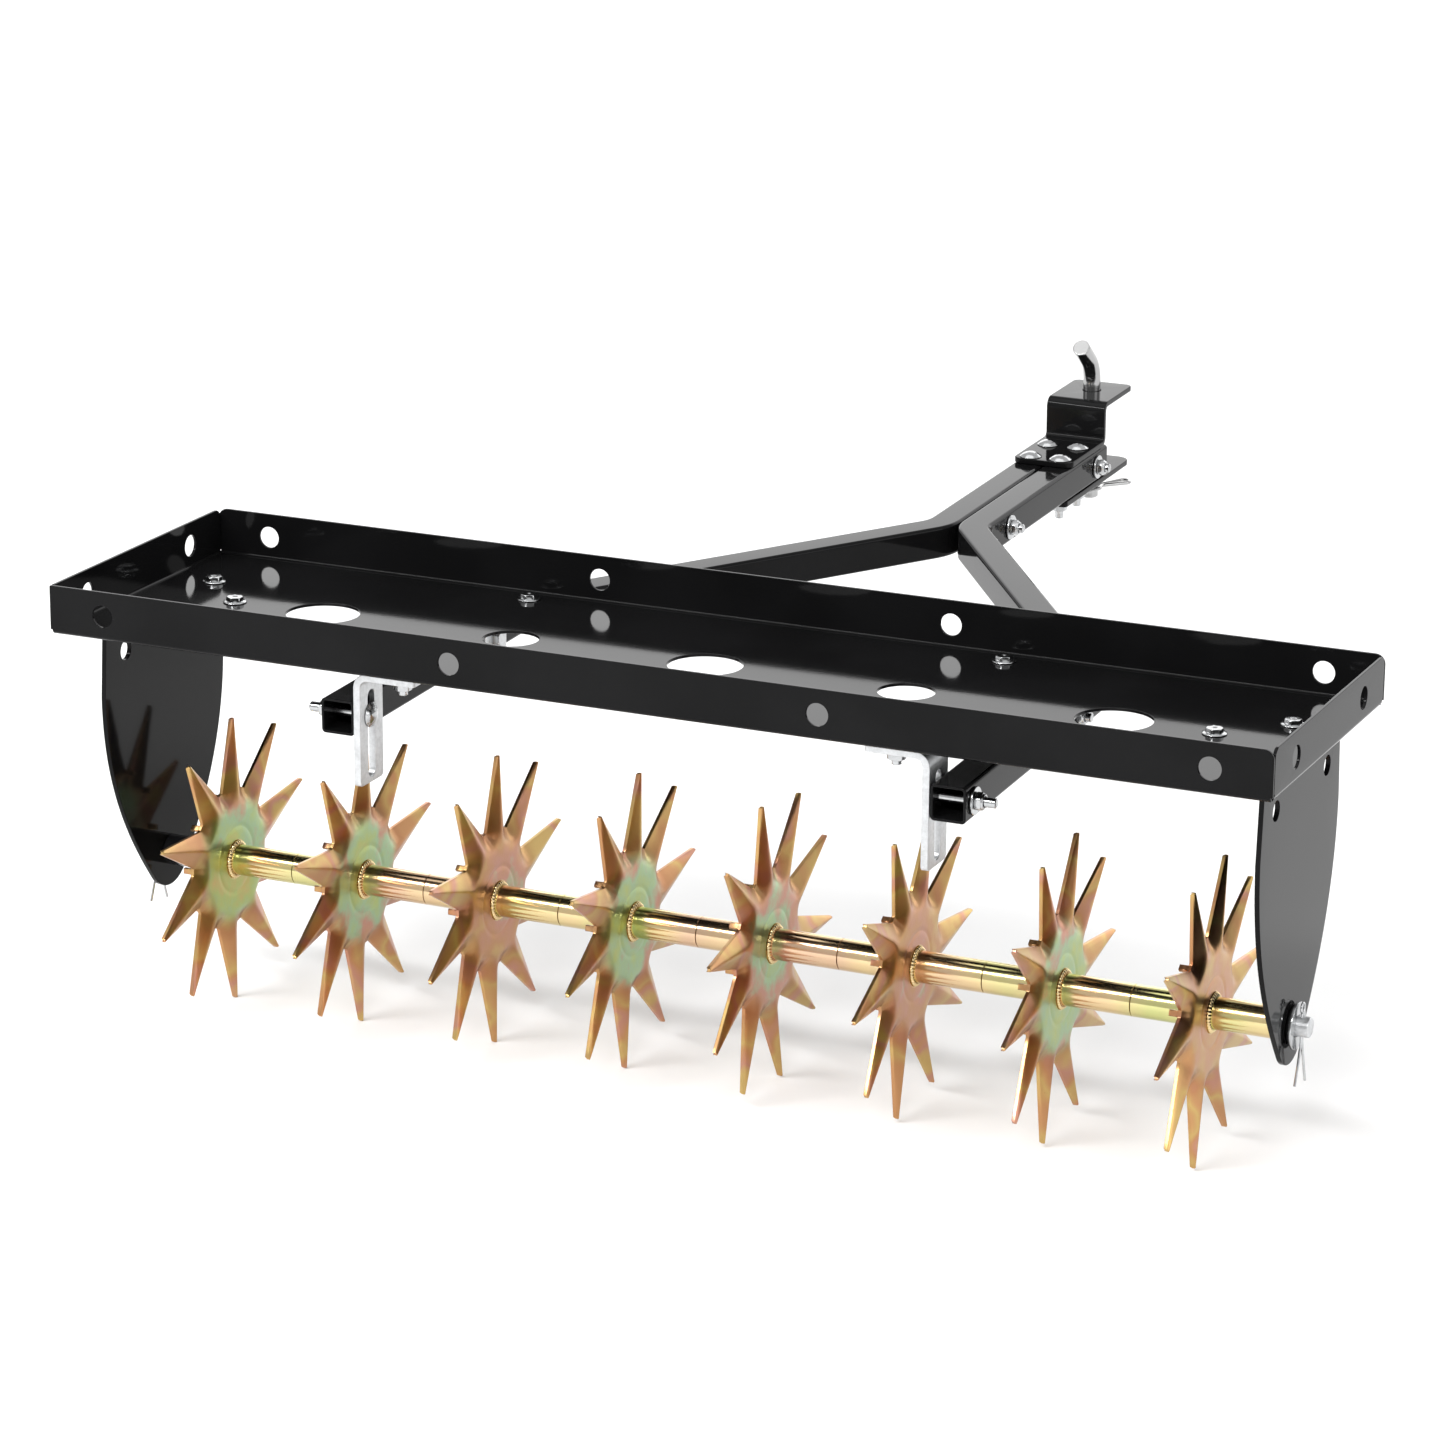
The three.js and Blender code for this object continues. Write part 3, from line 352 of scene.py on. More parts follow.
def yellow_zinc_star(shader, finish):
    """Yellow chromate over pressed steel: clouds of interference colour on the disc, copper to
    gold spikes with painted shade over their folds, bright tubes and weld beads, and a painted
    reflection of the black side plate on the first hub's tube."""
    gold, copper, pink, pale_gold = finish.gold, finish.copper, finish.pink, finish.pale_gold
    along = shader.axis("X")
    across = shader.axis("Y") - AXLE.y * MM
    above = shader.axis("Z") - AXLE.z * MM
    distance = (across * across + above * above) ** 0.5
    cloud = shader.noise(11.0, 2.0)
    patch = shader.noise(44.0, 4.0, 0.55)
    rings = 0.14 * shader.between(distance, 0.020, 0.055)
    place = along / (2 * TRAY_HIGH.x * MM) + 0.5
    batch = shader.ramp(place, [((n + 0.5) / STAR_COUNT, (tone,) * 3) for n, tone in enumerate(STAR_TONES)])
    film = batch + 0.60 * (cloud - 0.5) + 0.60 * (patch - 0.5) + rings - 0.07
    colour = shader.ramp(film, (
        (0.0, copper), (0.17, gold), (0.34, finish.green), (0.5, finish.teal), (0.64, pink), (0.82, copper),
        (1.0, gold),
    ))
    tone = shader.between(shader.noise(17.0, 2.0), 0.34, 0.66)
    spike = shader.ramp(tone, ((0.0, copper), (0.4, gold), (0.62, copper), (0.85, pink), (1.0, gold)))
    uneven = distance + 0.02 * (patch - 0.5)
    colour = shader.mix(shader.between(uneven, 0.042, 0.062), colour, spike)
    # Painted shade: a band over the spikes' folds is darkened towards a dark reddish brown.
    fold_shade = shader.between(uneven, 0.044, 0.056) * shader.between(uneven, 0.056, 0.075, 1.0, 0.0)
    colour = shader.mix(0.4 * fold_shade, colour, finish.fold_shade)
    bead = shader.between(distance, 0.0160, 0.0172, 1.0, 0.0)
    colour = shader.mix(bead, colour, pale_gold)
    tube = 1.0 - shader.between(distance, 0.0130, 0.0136)
    sleeve = shader.ramp(cloud, ((0.3, finish.rose), (0.5, pale_gold), (0.7, finish.olive)))
    colour = shader.mix(tube, colour, sleeve)
    # Painted reflection: the first hub's tube, out from the left plate, is coloured black and not metal,
    # standing for the black side plate it reflects.
    painted_reflection = tube * shader.between(along, PAINTED_REFLECTION_END * MM, (PAINTED_REFLECTION_END + 0.5) * MM, 1.0, 0.0)
    colour = shader.mix(painted_reflection, colour, finish.nylon_and_reflected_black)
    grain = shader.noise(420.0, 3.0, 0.6)
    roughness = 0.23 + 0.10 * patch + 0.05 * grain - 0.15 * bead
    height = (grain + 2.0 * patch) * (1.0 - 0.95 * bead)
    return shader.finish(colour, roughness, 1.0 - painted_reflection, height, 0.00006)


def floor_paint(shader, stage):
    """Pale, nearly even studio floor."""
    cloud = shader.noise(1.4, 2.0)
    colour = shader.mix(cloud, stage.floor_colour, shade(stage.floor_colour, 0.985))
    return shader.finish(colour, 0.75 + 0.1 * cloud)


FINISHES = {
    "black_powder_coat": black_powder_coat,
    "bright_zinc": bright_zinc,
    "zinc_fastener": zinc_fastener,
    "yellow_zinc": yellow_zinc_star,
    "chrome_pin": polished_pin,
    "black_nylon": black_nylon,
}

MATERIALS = {}


def material_for(slot):
    """The material of a record slot, made once."""
    if slot not in MATERIALS:
        MATERIALS[slot] = FINISHES[slot](Shader(slot), bpy.context.scene.aerator_finish)
    return MATERIALS[slot]


# ---- flat outlines, in millimetres ----


def arc_points(middle, radius, start, end, steps):
    turns = [start + (end - start) * step / steps for step in range(steps + 1)]
    return [(middle[0] + radius * math.cos(turn), middle[1] + radius * math.sin(turn)) for turn in turns]


def circle(x, y, radius, steps=48):
    return arc_points((x, y), radius, 0.0, -2 * math.pi, steps)[:-1]


def rounded(corners, steps=6):
    """Closes an outline of (x, y, radius) corners, with an arc at each corner that has a radius."""
    outline = []
    for number, (x, y, radius) in enumerate(corners):
        here = Vector((x, y))
        back = (Vector(corners[number - 1][:2]) - here).normalized()
        ahead = (Vector(corners[(number + 1) % len(corners)][:2]) - here).normalized()
        opening = math.acos(max(-1.0, min(1.0, back.dot(ahead))))
        if radius <= 0 or opening > math.pi - 1e-3:
            outline.append((x, y))
            continue
        setback = radius / math.tan(opening / 2)
        middle = here + (back + ahead).normalized() * (radius / math.sin(opening / 2))
        first = here + back * setback - middle
        last = here + ahead * setback - middle
        start = math.atan2(first.y, first.x)
        sweep = (math.atan2(last.y, last.x) - start + math.pi) % (2 * math.pi) - math.pi
        outline += arc_points(middle, radius, start, start + sweep, steps)
    return outline


# ---- folding ----


class Fold:
    """A strip's section, run as straight and bent stretches. Distances run along its face."""

    def __init__(self, start, heading, begin, stretches):
        self.stretches = []
        self.creases = []
        place = Vector(start)
        for length, radius in stretches:
            self.stretches.append((begin, begin + length, radius, place, heading))
            place = self.past(length, 0.0, radius, place, heading)
            if radius is not None:
                heading += length / radius
                self.creases += [begin + length * step / BEND_STEPS for step in range(BEND_STEPS + 1)]
            begin += length

    def past(self, distance, lift, radius, place, heading):
        """A point that far past a stretch's start, straight on or round its bend."""
        run = Vector((math.cos(heading), math.sin(heading)))
        if radius is None:
            return place + distance * run + lift * run.orthogonal()
        turn = heading + distance / radius
        middle = place + radius * run.orthogonal()
        return middle - (radius - lift) * Vector((-math.sin(turn), math.cos(turn)))

    def at(self, distance, lift):
        """Where a point ends up that lies that far along the strip and above its face."""
        for begin, end, *stretch in self.stretches:
            if distance <= end or end == self.stretches[-1][1]:
                return self.past(distance - begin, lift, *stretch)


def quarter(radius):
    """A bent stretch of a right angle: positive turns left, negative turns right."""
    return (abs(radius) * math.pi / 2, radius)


# ---- solids, in millimetres ----


def inside(point, loops):
    """Whether a point lies inside the outline and outside its holes."""
    x, y = point
    odd = False
    for loop in loops:
        for (x0, y0), (x1, y1) in zip(loop, loop[1:] + loop[:1]):
            if (y0 > y) != (y1 > y) and x < x0 + (y - y0) * (x1 - x0) / (y1 - y0):
                odd = not odd
    return odd


def split_at(loop, axis, places):
    """Adds points to a loop where it crosses creases of constant x or y."""
    result = []
    for start, end in zip(loop, loop[1:] + loop[:1]):
        result.append(start)
        low, high = sorted((start[axis], end[axis]))
        crossed = [place for place in places if low + 1e-5 < place < high - 1e-5]
        crossed.sort(reverse=start[axis] > end[axis])
        for place in crossed:
            share = (place - start[axis]) / (end[axis] - start[axis])
            result.append(tuple(a + (b - a) * share for a, b in zip(start, end)))
    return result


def triangulated(loops, creases):
    """Fills an outline with triangles whose edges follow the creases, given as (axis, places)."""
    for axis, places in creases:
        loops = [split_at(loop, axis, places) for loop in loops]
    points = []
    edges = []
    for loop in loops:
        first = len(points)
        points += [Vector(point) for point in loop]
        edges += [(first + n, first + (n + 1) % len(loop)) for n in range(len(loop))]
    for axis, places in creases:
        for place in places:
            line = [n for n, point in enumerate(points) if abs(point[axis] - place) < 1e-4]
            line.sort(key=lambda n: points[n][1 - axis])
            edges += [
                (a, b) for a, b in zip(line, line[1:]) if inside((points[a] + points[b]) / 2, loops)
            ]
    filled = geometry.delaunay_2d_cdt(points, edges, [], 0, 1e-6)
    spots, faces = filled[0], filled[2]
    middles = [sum((spots[n] for n in face), Vector((0, 0))) / len(face) for face in faces]
    return spots, [face for face, middle in zip(faces, middles) if inside(middle, loops)]


class Solid:
    """A mesh in the making, in millimetres in the row frame."""

    def __init__(self):
        self.points = []
        self.faces = []

    def add(self, points, faces, place=None):
        first = len(self.points)
        self.points += [place(Vector(point)) if place else Vector(point) for point in points]
        self.faces += [tuple(first + corner for corner in face) for face in faces]

    def thicken(self, front, faces, depth, rounding, place):
        """Closes a face into a sheet of that depth behind it, with rounded rims."""
        directed = {(a, b) for face in faces for a, b in zip(face, face[1:] + face[:1])}
        rims = [(a, b) for a, b in directed if (b, a) not in directed]
        ahead = dict(rims)
        behind = {b: a for a, b in rims}
        count = len(front)
        back = [point - Vector((0, 0, depth)) for point in front]
        points = [Vector(point) for point in front] + back
        rings = {}
        slant = 0.293  # a quarter circle's middle is this share of its radius from each side
        levels = (
            (slant, slant * rounding), (0.0, rounding),
            (0.0, depth - rounding), (slant, depth - slant * rounding),
        )
        for corner in sorted(ahead):
            sides = []
            for a, b in ((behind[corner], corner), (corner, ahead[corner])):
                run = (front[b] - front[a]).to_2d().normalized()
                sides.append(Vector((run.y, -run.x)))
            out = ((sides[0] + sides[1]) / max(1.0 + sides[0].dot(sides[1]), 0.35)).to_3d()
            ring = [corner]
            for inset, down in levels:
                ring.append(len(points))
                points.append(front[corner] - inset * rounding * out - Vector((0, 0, down)))
            ring.append(corner + count)
            points[corner] = front[corner] - rounding * out
            points[corner + count] = back[corner] - rounding * out
            rings[corner] = ring
        sheet = [tuple(face) for face in faces]
        sheet += [tuple(corner + count for corner in reversed(face)) for face in faces]
        for a, b in sorted(rims):
            first, second = rings[a], rings[b]
            for level in range(5):
                sheet.append((first[level], first[level + 1], second[level + 1], second[level]))
        self.add(points, sheet, place)

    def spin(self, rows, matrix, sides=48):
        """A turned shape. A row is (radius, place along the axis) or a function of the angle
        that gives one. Rows that don't begin and end on the axis close on themselves."""
        turns = [2 * math.pi * side / sides for side in range(sides)]
        points = []
        rings = []
        for row in rows:
            if not callable(row) and row[0] == 0:
                rings.append([len(points)] * sides)
                points.append(Vector((0, 0, row[1])))
                continue
            rings.append(list(range(len(points), len(points) + sides)))
            for turn in turns:
                radius, along = row(turn) if callable(row) else row
                points.append(Vector((radius * math.cos(turn), radius * math.sin(turn), along)))
        pairs = list(zip(rings, rings[1:]))
        if callable(rows[0]) or rows[0][0] != 0:
            pairs.append((rings[-1], rings[0]))
        faces = []
        for lower, upper in pairs:
            for side in range(sides):
                after = (side + 1) % sides
                face = tuple(dict.fromkeys((lower[side], lower[after], upper[after], upper[side])))
                if len(face) > 2:
                    faces.append(face)
        self.add(points, faces, lambda point: matrix @ point)

    def run(self, stations, closed, place=None):
        """Joins a row of rings, each with the same number of points, and caps the open ends."""
        count = len(stations[0])
        points = [point for station in stations for point in station]
        starts = list(range(0, len(points), count))
        pairs = list(zip(starts, starts[1:]))
        if closed:
            pairs.append((starts[-1], 0))
        faces = []
        for first, second in pairs:
            for corner in range(count):
                after = (corner + 1) % count
                faces.append((first + corner, first + after, second + after, second + corner))
        if not closed:
            faces.append(tuple(range(count)))
            faces.append(tuple(range(len(points) - count, len(points))))
        self.add(points, faces, place)

    def make(self, name, body, slot, node):
        """Turns the solid into a piece that rides on a body and stands for a CAD node."""
        mesh = bpy.data.meshes.new(name)
        mesh.from_pydata([point * MM for point in self.points], [], self.faces)
        shape = bmesh.new()
        shape.from_mesh(mesh)
        bmesh.ops.recalc_face_normals(shape, faces=shape.faces)
        shape.to_mesh(mesh)
        shape.free()
        mesh.shade_smooth()
        mesh.materials.append(material_for(slot))
        piece = bpy.data.objects.new(name, mesh)
        bpy.context.scene.collection.objects.link(piece)
        normals = piece.modifiers.new("flat_faces", "WEIGHTED_NORMAL")
        normals.weight = 60
        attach(piece, body)
        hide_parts(node)


def pointing(origin, direction):
    """A matrix that puts local Z along a direction at an origin."""
    return Matrix.Translation(origin) @ Vector(direction).to_track_quat("Z", "Y").to_matrix().to_4x4()


def on_axle(x, hand=1):
    """Local Z out along the axle, to the right or with hand -1 to the left."""
    return pointing((x, AXLE.y, AXLE.z), (hand, 0, 0))


def on_tongue(x, y, z, direction):
    return TONGUE @ pointing((x, y, z), direction)


def level_path(points):
    """Each point of a path in the XY plane, with its direction to the side, mitred at corners."""
    runs = [(b - a).normalized() for a, b in zip(points, points[1:])]
    result = []
    for number, point in enumerate(points):
        before = runs[max(number - 1, 0)]
        after = runs[min(number, len(runs) - 1)]
        run = (before + after).normalized()
        side = Vector((-run.y, run.x, 0.0)) / run.dot(before)
        result.append((point, side, run))
    return result


def wire_stations(points, radius, sides, chamfer):
    """Rings of a round wire along a path in the XY plane, with chamfered ends."""
    up = Vector((0, 0, 1))
    turns = [2 * math.pi * side / sides for side in range(sides)]
    path = level_path(points)
    marked = [(point, side, radius) for point, side, _ in path]
    first, side, run = path[0]
    marked[:1] = [(first, side, radius - chamfer), (first + chamfer * run, side, radius)]
    last, side, run = path[-1]
    marked[-1:] = [(last - chamfer * run, side, radius), (last, side, radius - chamfer)]
    return [
        [point + size * (math.cos(turn) * side + math.sin(turn) * up) for turn in turns]
        for point, side, size in marked
    ]


def smooth_line(corners, steps=6):
    """A curve through corner points, by Catmull-Rom spans."""
    points = [Vector(corner) for corner in corners]
    ends = [2 * points[0] - points[1]] + points + [2 * points[-1] - points[-2]]
    line = []
    for a, b, c, d in zip(ends, ends[1:], ends[2:], ends[3:]):
        for step in range(steps):
            t = step / steps
            line.append(0.5 * (
                2 * b + (c - a) * t + (2 * a - 5 * b + 4 * c - d) * t * t
                + (3 * b - a - 3 * c + d) * t * t * t
            ))
    return line + [points[-1]]


def fold_piece(name, body, slot, node, loops, depth, creases, place, rounding=None):
    """A piece of sheet, folded from its flat outline, holes and creases."""
    spots, faces = triangulated(loops, creases)
    front = [Vector((spot.x, spot.y, 0.0)) for spot in spots]
    solid = Solid()
    solid.thicken(front, faces, depth, rounding or bpy.context.scene.aerator_sizes.edge_rounding / MM, place)
    solid.make(name, body, slot, node)


def turn_piece(name, body, slot, node, rows, matrix, sides=48):
    solid = Solid()
    solid.spin(rows, matrix, sides)
    solid.make(name, body, slot, node)


def bend_piece(name, body, slot, node, outline, radius, sides, chamfer, place):
    """A piece of rod or wire, bent along a flat outline."""
    solid = Solid()
    points = [Vector((x, y, 0.0)) for x, y in outline]
    solid.run(wire_stations(points, radius, sides, chamfer), False, place)
    solid.make(name, body, slot, node)


# ---- turned shapes: rows of (radius, place along the axis) ----


def ring_rows(bore, radius, length, edge=0.25):
    return [
        (bore, edge), (bore + edge, 0.0), (radius - edge, 0.0), (radius, edge),
        (radius, length - edge), (radius - edge, length), (bore + edge, length), (bore, length - edge),
    ]


def hex_rows(across, low, high, chamfer_low=True):
    """The side rows of a hexagon whose corners are turned off at 30 degrees."""
    flat = 0.485 * across
    slope = math.tan(math.radians(30))

    def row(level, sign):
        def spot(turn):
            from_flat = (turn + math.pi / 6) % (math.pi / 3) - math.pi / 6
            reach = min(across / 2 / math.cos(from_flat), 0.567 * across)
            return reach, level - sign * max(0.0, reach - flat) * slope
        return spot

    rows = [(flat, low), row(low, -1)] if chamfer_low else [row(low, 0)]
    return rows + [row(high, 1), (flat, high)]


def nut_rows():
    """A nut with a raised collar on top."""
    collar = NUT_ACROSS / 2 - 0.6
    top = NUT_HEIGHT
    return [
        (NUT_BORE, 0.6), (NUT_BORE + 0.7, 0.0), *hex_rows(NUT_ACROSS, 0.0, top - 1.6), (collar, top - 1.5),
        (collar, top - 0.5), (collar - 0.6, top), (NUT_BORE + 0.5, top), (NUT_BORE, top - 0.5),
    ]


def flange_nut_rows():
    skirt = FLANGE_RADIUS - 0.6
    top = FLANGE_NUT_HEIGHT
    return [
        (NUT_BORE, 0.6), (NUT_BORE + 0.7, 0.0), (skirt - 0.3, 0.0), (skirt, 0.3), (skirt, 0.9), (7.4, 1.6),
        *hex_rows(NUT_ACROSS, 1.7, top - 0.4, False), (NUT_BORE + 1.2, top), (NUT_BORE + 0.6, top),
        (NUT_BORE, top - 0.6),
    ]


def thread_rows(start, end):
    """Ridges of a thread from start to end, both along the axis."""
    pitch = bpy.context.scene.aerator_sizes.thread_pitch / MM
    hand = 1.0 if end > start else -1.0
    rows = []
    for ridge in range(max(1, int(abs(end - start) / pitch))):
        at = start + hand * ridge * pitch
        rows += [(BOLT_RADIUS, at), (BOLT_RADIUS - THREAD_DEPTH, at + hand * 0.5 * pitch)]
    return rows + [(BOLT_RADIUS, end - hand * 0.8), (BOLT_RADIUS - 0.8, end), (0, end)]


def dome_bolt_rows(end):
    """A round-headed bolt: the head's seat at 0, and its shank down to `end`."""
    steps = 10
    sphere = (DOME_RADIUS ** 2 + DOME_HEIGHT ** 2) / 2 / DOME_HEIGHT
    half = math.asin(DOME_RADIUS / sphere)
    turns = [half * step / steps for step in range(steps)]
    dome = [(sphere * math.sin(turn), DOME_HEIGHT - sphere + sphere * math.cos(turn)) for turn in turns]
    rim = [(DOME_RADIUS, 0.35), (DOME_RADIUS, 0.15), (DOME_RADIUS - 0.3, 0.0), (BOLT_RADIUS, 0.0)]
    return [*dome, *rim, *thread_rows(end + THREAD, end)]


def hex_bolt_rows(end):
    """A hexagon bolt: the head's seat at 0, and its shank down to `end`."""
    head = [(0, HEX_HEAD), *reversed(hex_rows(NUT_ACROSS, 0.0, HEX_HEAD, False)), (BOLT_RADIUS, 0.0)]
    return [*head, *thread_rows(end + HEX_THREAD, end)]


def flange_bolt_rows(end):
    """A flanged bolt with a dimpled head: the flange's seat at 0, and its shank down to `end`."""
    top = HEAD_HEIGHT
    return [
        (0, top - 0.9), (1.3, top - 0.8), (2.2, top - 0.1), (2.8, top),
        *reversed(hex_rows(NUT_ACROSS - 0.6, 1.2, top, False)),
        (7.2, 1.25), (FLANGE_RADIUS - 0.7, 0.95), (FLANGE_RADIUS, 0.6), (FLANGE_RADIUS, 0.2),
        (FLANGE_RADIUS - 0.3, 0.0), (BOLT_RADIUS, 0.0), *thread_rows(end + THREAD, end),
    ]


# ---- operators: one for each piece or group of like pieces ----


class AERATOR_OT_weight_tray(bpy.types.Operator):
    """Fold the weight tray from one sheet, with its corner notches and holes"""

    bl_idname = "aerator.weight_tray"
    bl_label = "Weight Tray"

    def execute(self, context):
        bend = context.scene.aerator_sizes.tray_bend / MM
        half = TRAY_HIGH.x - TRAY_SHEET - bend
        rear = TRAY_SHEET + bend
        width = TRAY_HIGH.y - TRAY_LOW.y
        front = width - rear
        wall = TRAY_HIGH.z - TRAY_LOW.z - rear
        curve = bend * math.pi / 2

        def section(edge, begin, floor):
            """A cut through the tray: down one wall, along the floor and up the other wall."""
            stretches = [(wall, None), quarter(bend), (floor, None), quarter(bend), (wall, None)]
            return Fold((edge + TRAY_SHEET, rear + wall), -math.pi / 2, begin - curve - wall, stretches)

        along = section(-TRAY_HIGH.x, -half, 2 * half)
        across = section(0.0, rear, front - rear)

        def place(point):
            in_end_wall = abs(point.x) > half + curve + 0.5 and TRAY_SHEET < point.y < width - TRAY_SHEET
            if in_end_wall or rear <= point.y <= front:
                x, z = along.at(point.x, point.z)
                y = point.y
            else:
                y, z = across.at(point.y, point.z)
                x = point.x
            return Vector((x, y + TRAY_LOW.y, z + TRAY_LOW.z))

        outer = TRAY_HIGH.x
        side = TRAY_SHEET + TRAY_SLIT
        relief = rear - curve + TRAY_NOTCH
        end_wall = half + curve
        corner = [
            (outer, rear - curve - wall, TRAY_CORNER), (outer, relief, 0), (half + TRAY_RELIEF, relief, 0),
            (half + TRAY_RELIEF, rear - TRAY_NOTCH, 0), (half, rear - TRAY_NOTCH, 0), (half, rear, 0),
            (end_wall + 1, rear, 0), (end_wall + 1, side, 0), (end_wall + wall, side, TRAY_CORNER),
        ]
        middle = width / 2
        right = corner + [(x, 2 * middle - y, radius) for x, y, radius in reversed(corner)]
        left = [(-x, y, TRAY_NEAR_CORNER if radius and y < middle else radius) for x, y, radius in right]
        outline = rounded(right + left[::-1])
        holes = [
            circle((place - 2) * FLOOR_HOLE_PITCH, middle + FLOOR_HOLE_FORWARD, size / 2, 72)
            for place, size in enumerate(FLOOR_HOLES)
        ]
        height = (TRAY_HIGH.z - TRAY_LOW.z) / 2 - rear
        outer_hole = outer - WALL_HOLE_OUTER
        spots = [
            (x, y) for x in (-outer_hole, -WALL_HOLE_INNER, WALL_HOLE_INNER, outer_hole)
            for y in (rear - curve - height, front + curve + height)
        ]
        spots += [
            (hand * (half + curve + height), y) for y in (END_HOLE_INSET, width - END_HOLE_INSET)
            for _, hand in HANDS
        ]
        holes += [circle(x, y, WALL_HOLE / 2) for x, y in spots]
        creases = [(0, along.creases), (1, across.creases)]
        loops = [outline, *holes]
        fold_piece("tray", "frame", "black_powder_coat", "weight_tray", loops, TRAY_SHEET, creases, place)
        return {"FINISHED"}


class Hanger:
    """A sheet that hangs from the tray, left and right: a flange, a bend and a face. The flat
    sheet's first axis runs down the face, from 0 at the end of the bend."""

    def __init__(self, node, bend):
        self.node = node
        self.low, self.high = box_mm(f"{node}_right")
        flange = self.high.x - self.low.x - bend
        self.edge = -flange - bend * math.pi / 2
        self.drop = self.high.z - self.low.z - bend
        self.top = TRAY_LOW.z - (self.high.z - bend)
        stretches = [(flange, None), quarter(-bend), (self.drop, None)]
        self.fold = Fold((self.low.x, self.high.z), 0.0, self.edge, stretches)

    def make(self, name, slot, loops, depth, forward=0.0, rounding=None):
        for side, hand in HANDS:
            def place(point, hand=hand):
                x, z = self.fold.at(point.x, point.z)
                return Vector((hand * x, point.y + forward, z))

            creases = [(0, self.fold.creases)]
            names = (f"{name}_{side}", "frame", slot, f"{self.node}_{side}")
            fold_piece(*names, loops, depth, creases, place, rounding)


class AERATOR_OT_side_plates(bpy.types.Operator):
    """Fold the two side plates that hang from the tray and carry the axle"""

    bl_idname = "aerator.side_plates"
    bl_label = "Side Plates"

    def execute(self, context):
        plate = Hanger("side_plate", PLATE_BEND)
        half = (plate.high.y - plate.low.y) / 2
        shoulder = PLATE_SHOULDER - plate.top
        axle = TRAY_LOW.z - AXLE.z - plate.top
        aside = PLATE_FOOT_RADIUS * Vector((math.sin(PLATE_FOOT_TURN), math.cos(PLATE_FOOT_TURN)))
        foot = (axle + aside.x, aside.y)
        flank = 0.43 * (foot[0] - shoulder)
        handles = (
            (shoulder, half), (shoulder + flank, half), (foot[0] - 0.62 * flank, foot[1] + 0.5 * flank), foot,
        )
        curve = geometry.interpolate_bezier(*(Vector((*handle, 0)) for handle in handles), 28)
        flanks = [(down, away) for down, away, _ in curve]
        turn = math.pi / 2 - PLATE_FOOT_TURN
        round_foot = arc_points((axle, 0.0), PLATE_FOOT_RADIUS, turn, -turn, 20)[1:-1]
        flange = [(plate.edge, half, PLATE_CORNER), (plate.edge, -half, PLATE_CORNER), (0.0, 0.0, 0)]
        mirrored = [(down, -away) for down, away in flanks]
        outline = rounded(flange)[:-1] + mirrored + round_foot[::-1] + flanks[::-1]
        depth = PLATE_HOLE_DEPTH - plate.top
        holes = [circle(depth, hand * PLATE_HOLE_OFFSET, PLATE_HOLE / 2) for _, hand in HANDS]
        holes.append(circle(axle, 0.0, BUSH_RADIUS + GAP))
        plate.make("hanging_plate", "black_powder_coat", [outline, *holes], PLATE_SHEET, AXLE.y)
        return {"FINISHED"}


class AERATOR_OT_straps(bpy.types.Operator):
    """Fold the slotted lift straps and the hinge brackets under the tray"""

    bl_idname = "aerator.straps"
    bl_label = "Lift Straps and Hinge Brackets"

    def angle(self, node, thick, bend, slotted):
        strap = Hanger(node, bend)
        low, high = strap.low.y, strap.high.y
        flange, foot = ANGLE_CORNERS
        near = [(strap.edge, low, flange), (strap.drop, low, foot)]
        far = [(strap.drop, high, foot), (strap.edge, high, flange)]
        loops = [rounded(near + far)]
        if slotted:
            reach = SLOT_WIDTH / 2
            x0, x1 = SLOT_TOP - strap.top, SLOT_BOTTOM - strap.top
            y0, y1 = (low + high) / 2 - reach, (low + high) / 2 + reach
            corners = ((x0, y0), (x0, y1), (x1, y1), (x1, y0))
            loops.append(rounded([(x, y, reach - 0.01) for x, y in corners], 10))
        strap.make(f"bent_{node}", "bright_zinc", loops, thick, 0.0, THICK_ROUNDING)

    def execute(self, context):
        self.angle("lift_strap", STRAP, STRAP_BEND, True)
        self.angle("hinge_bracket", BRACKET, BRACKET_BEND, False)
        return {"FINISHED"}


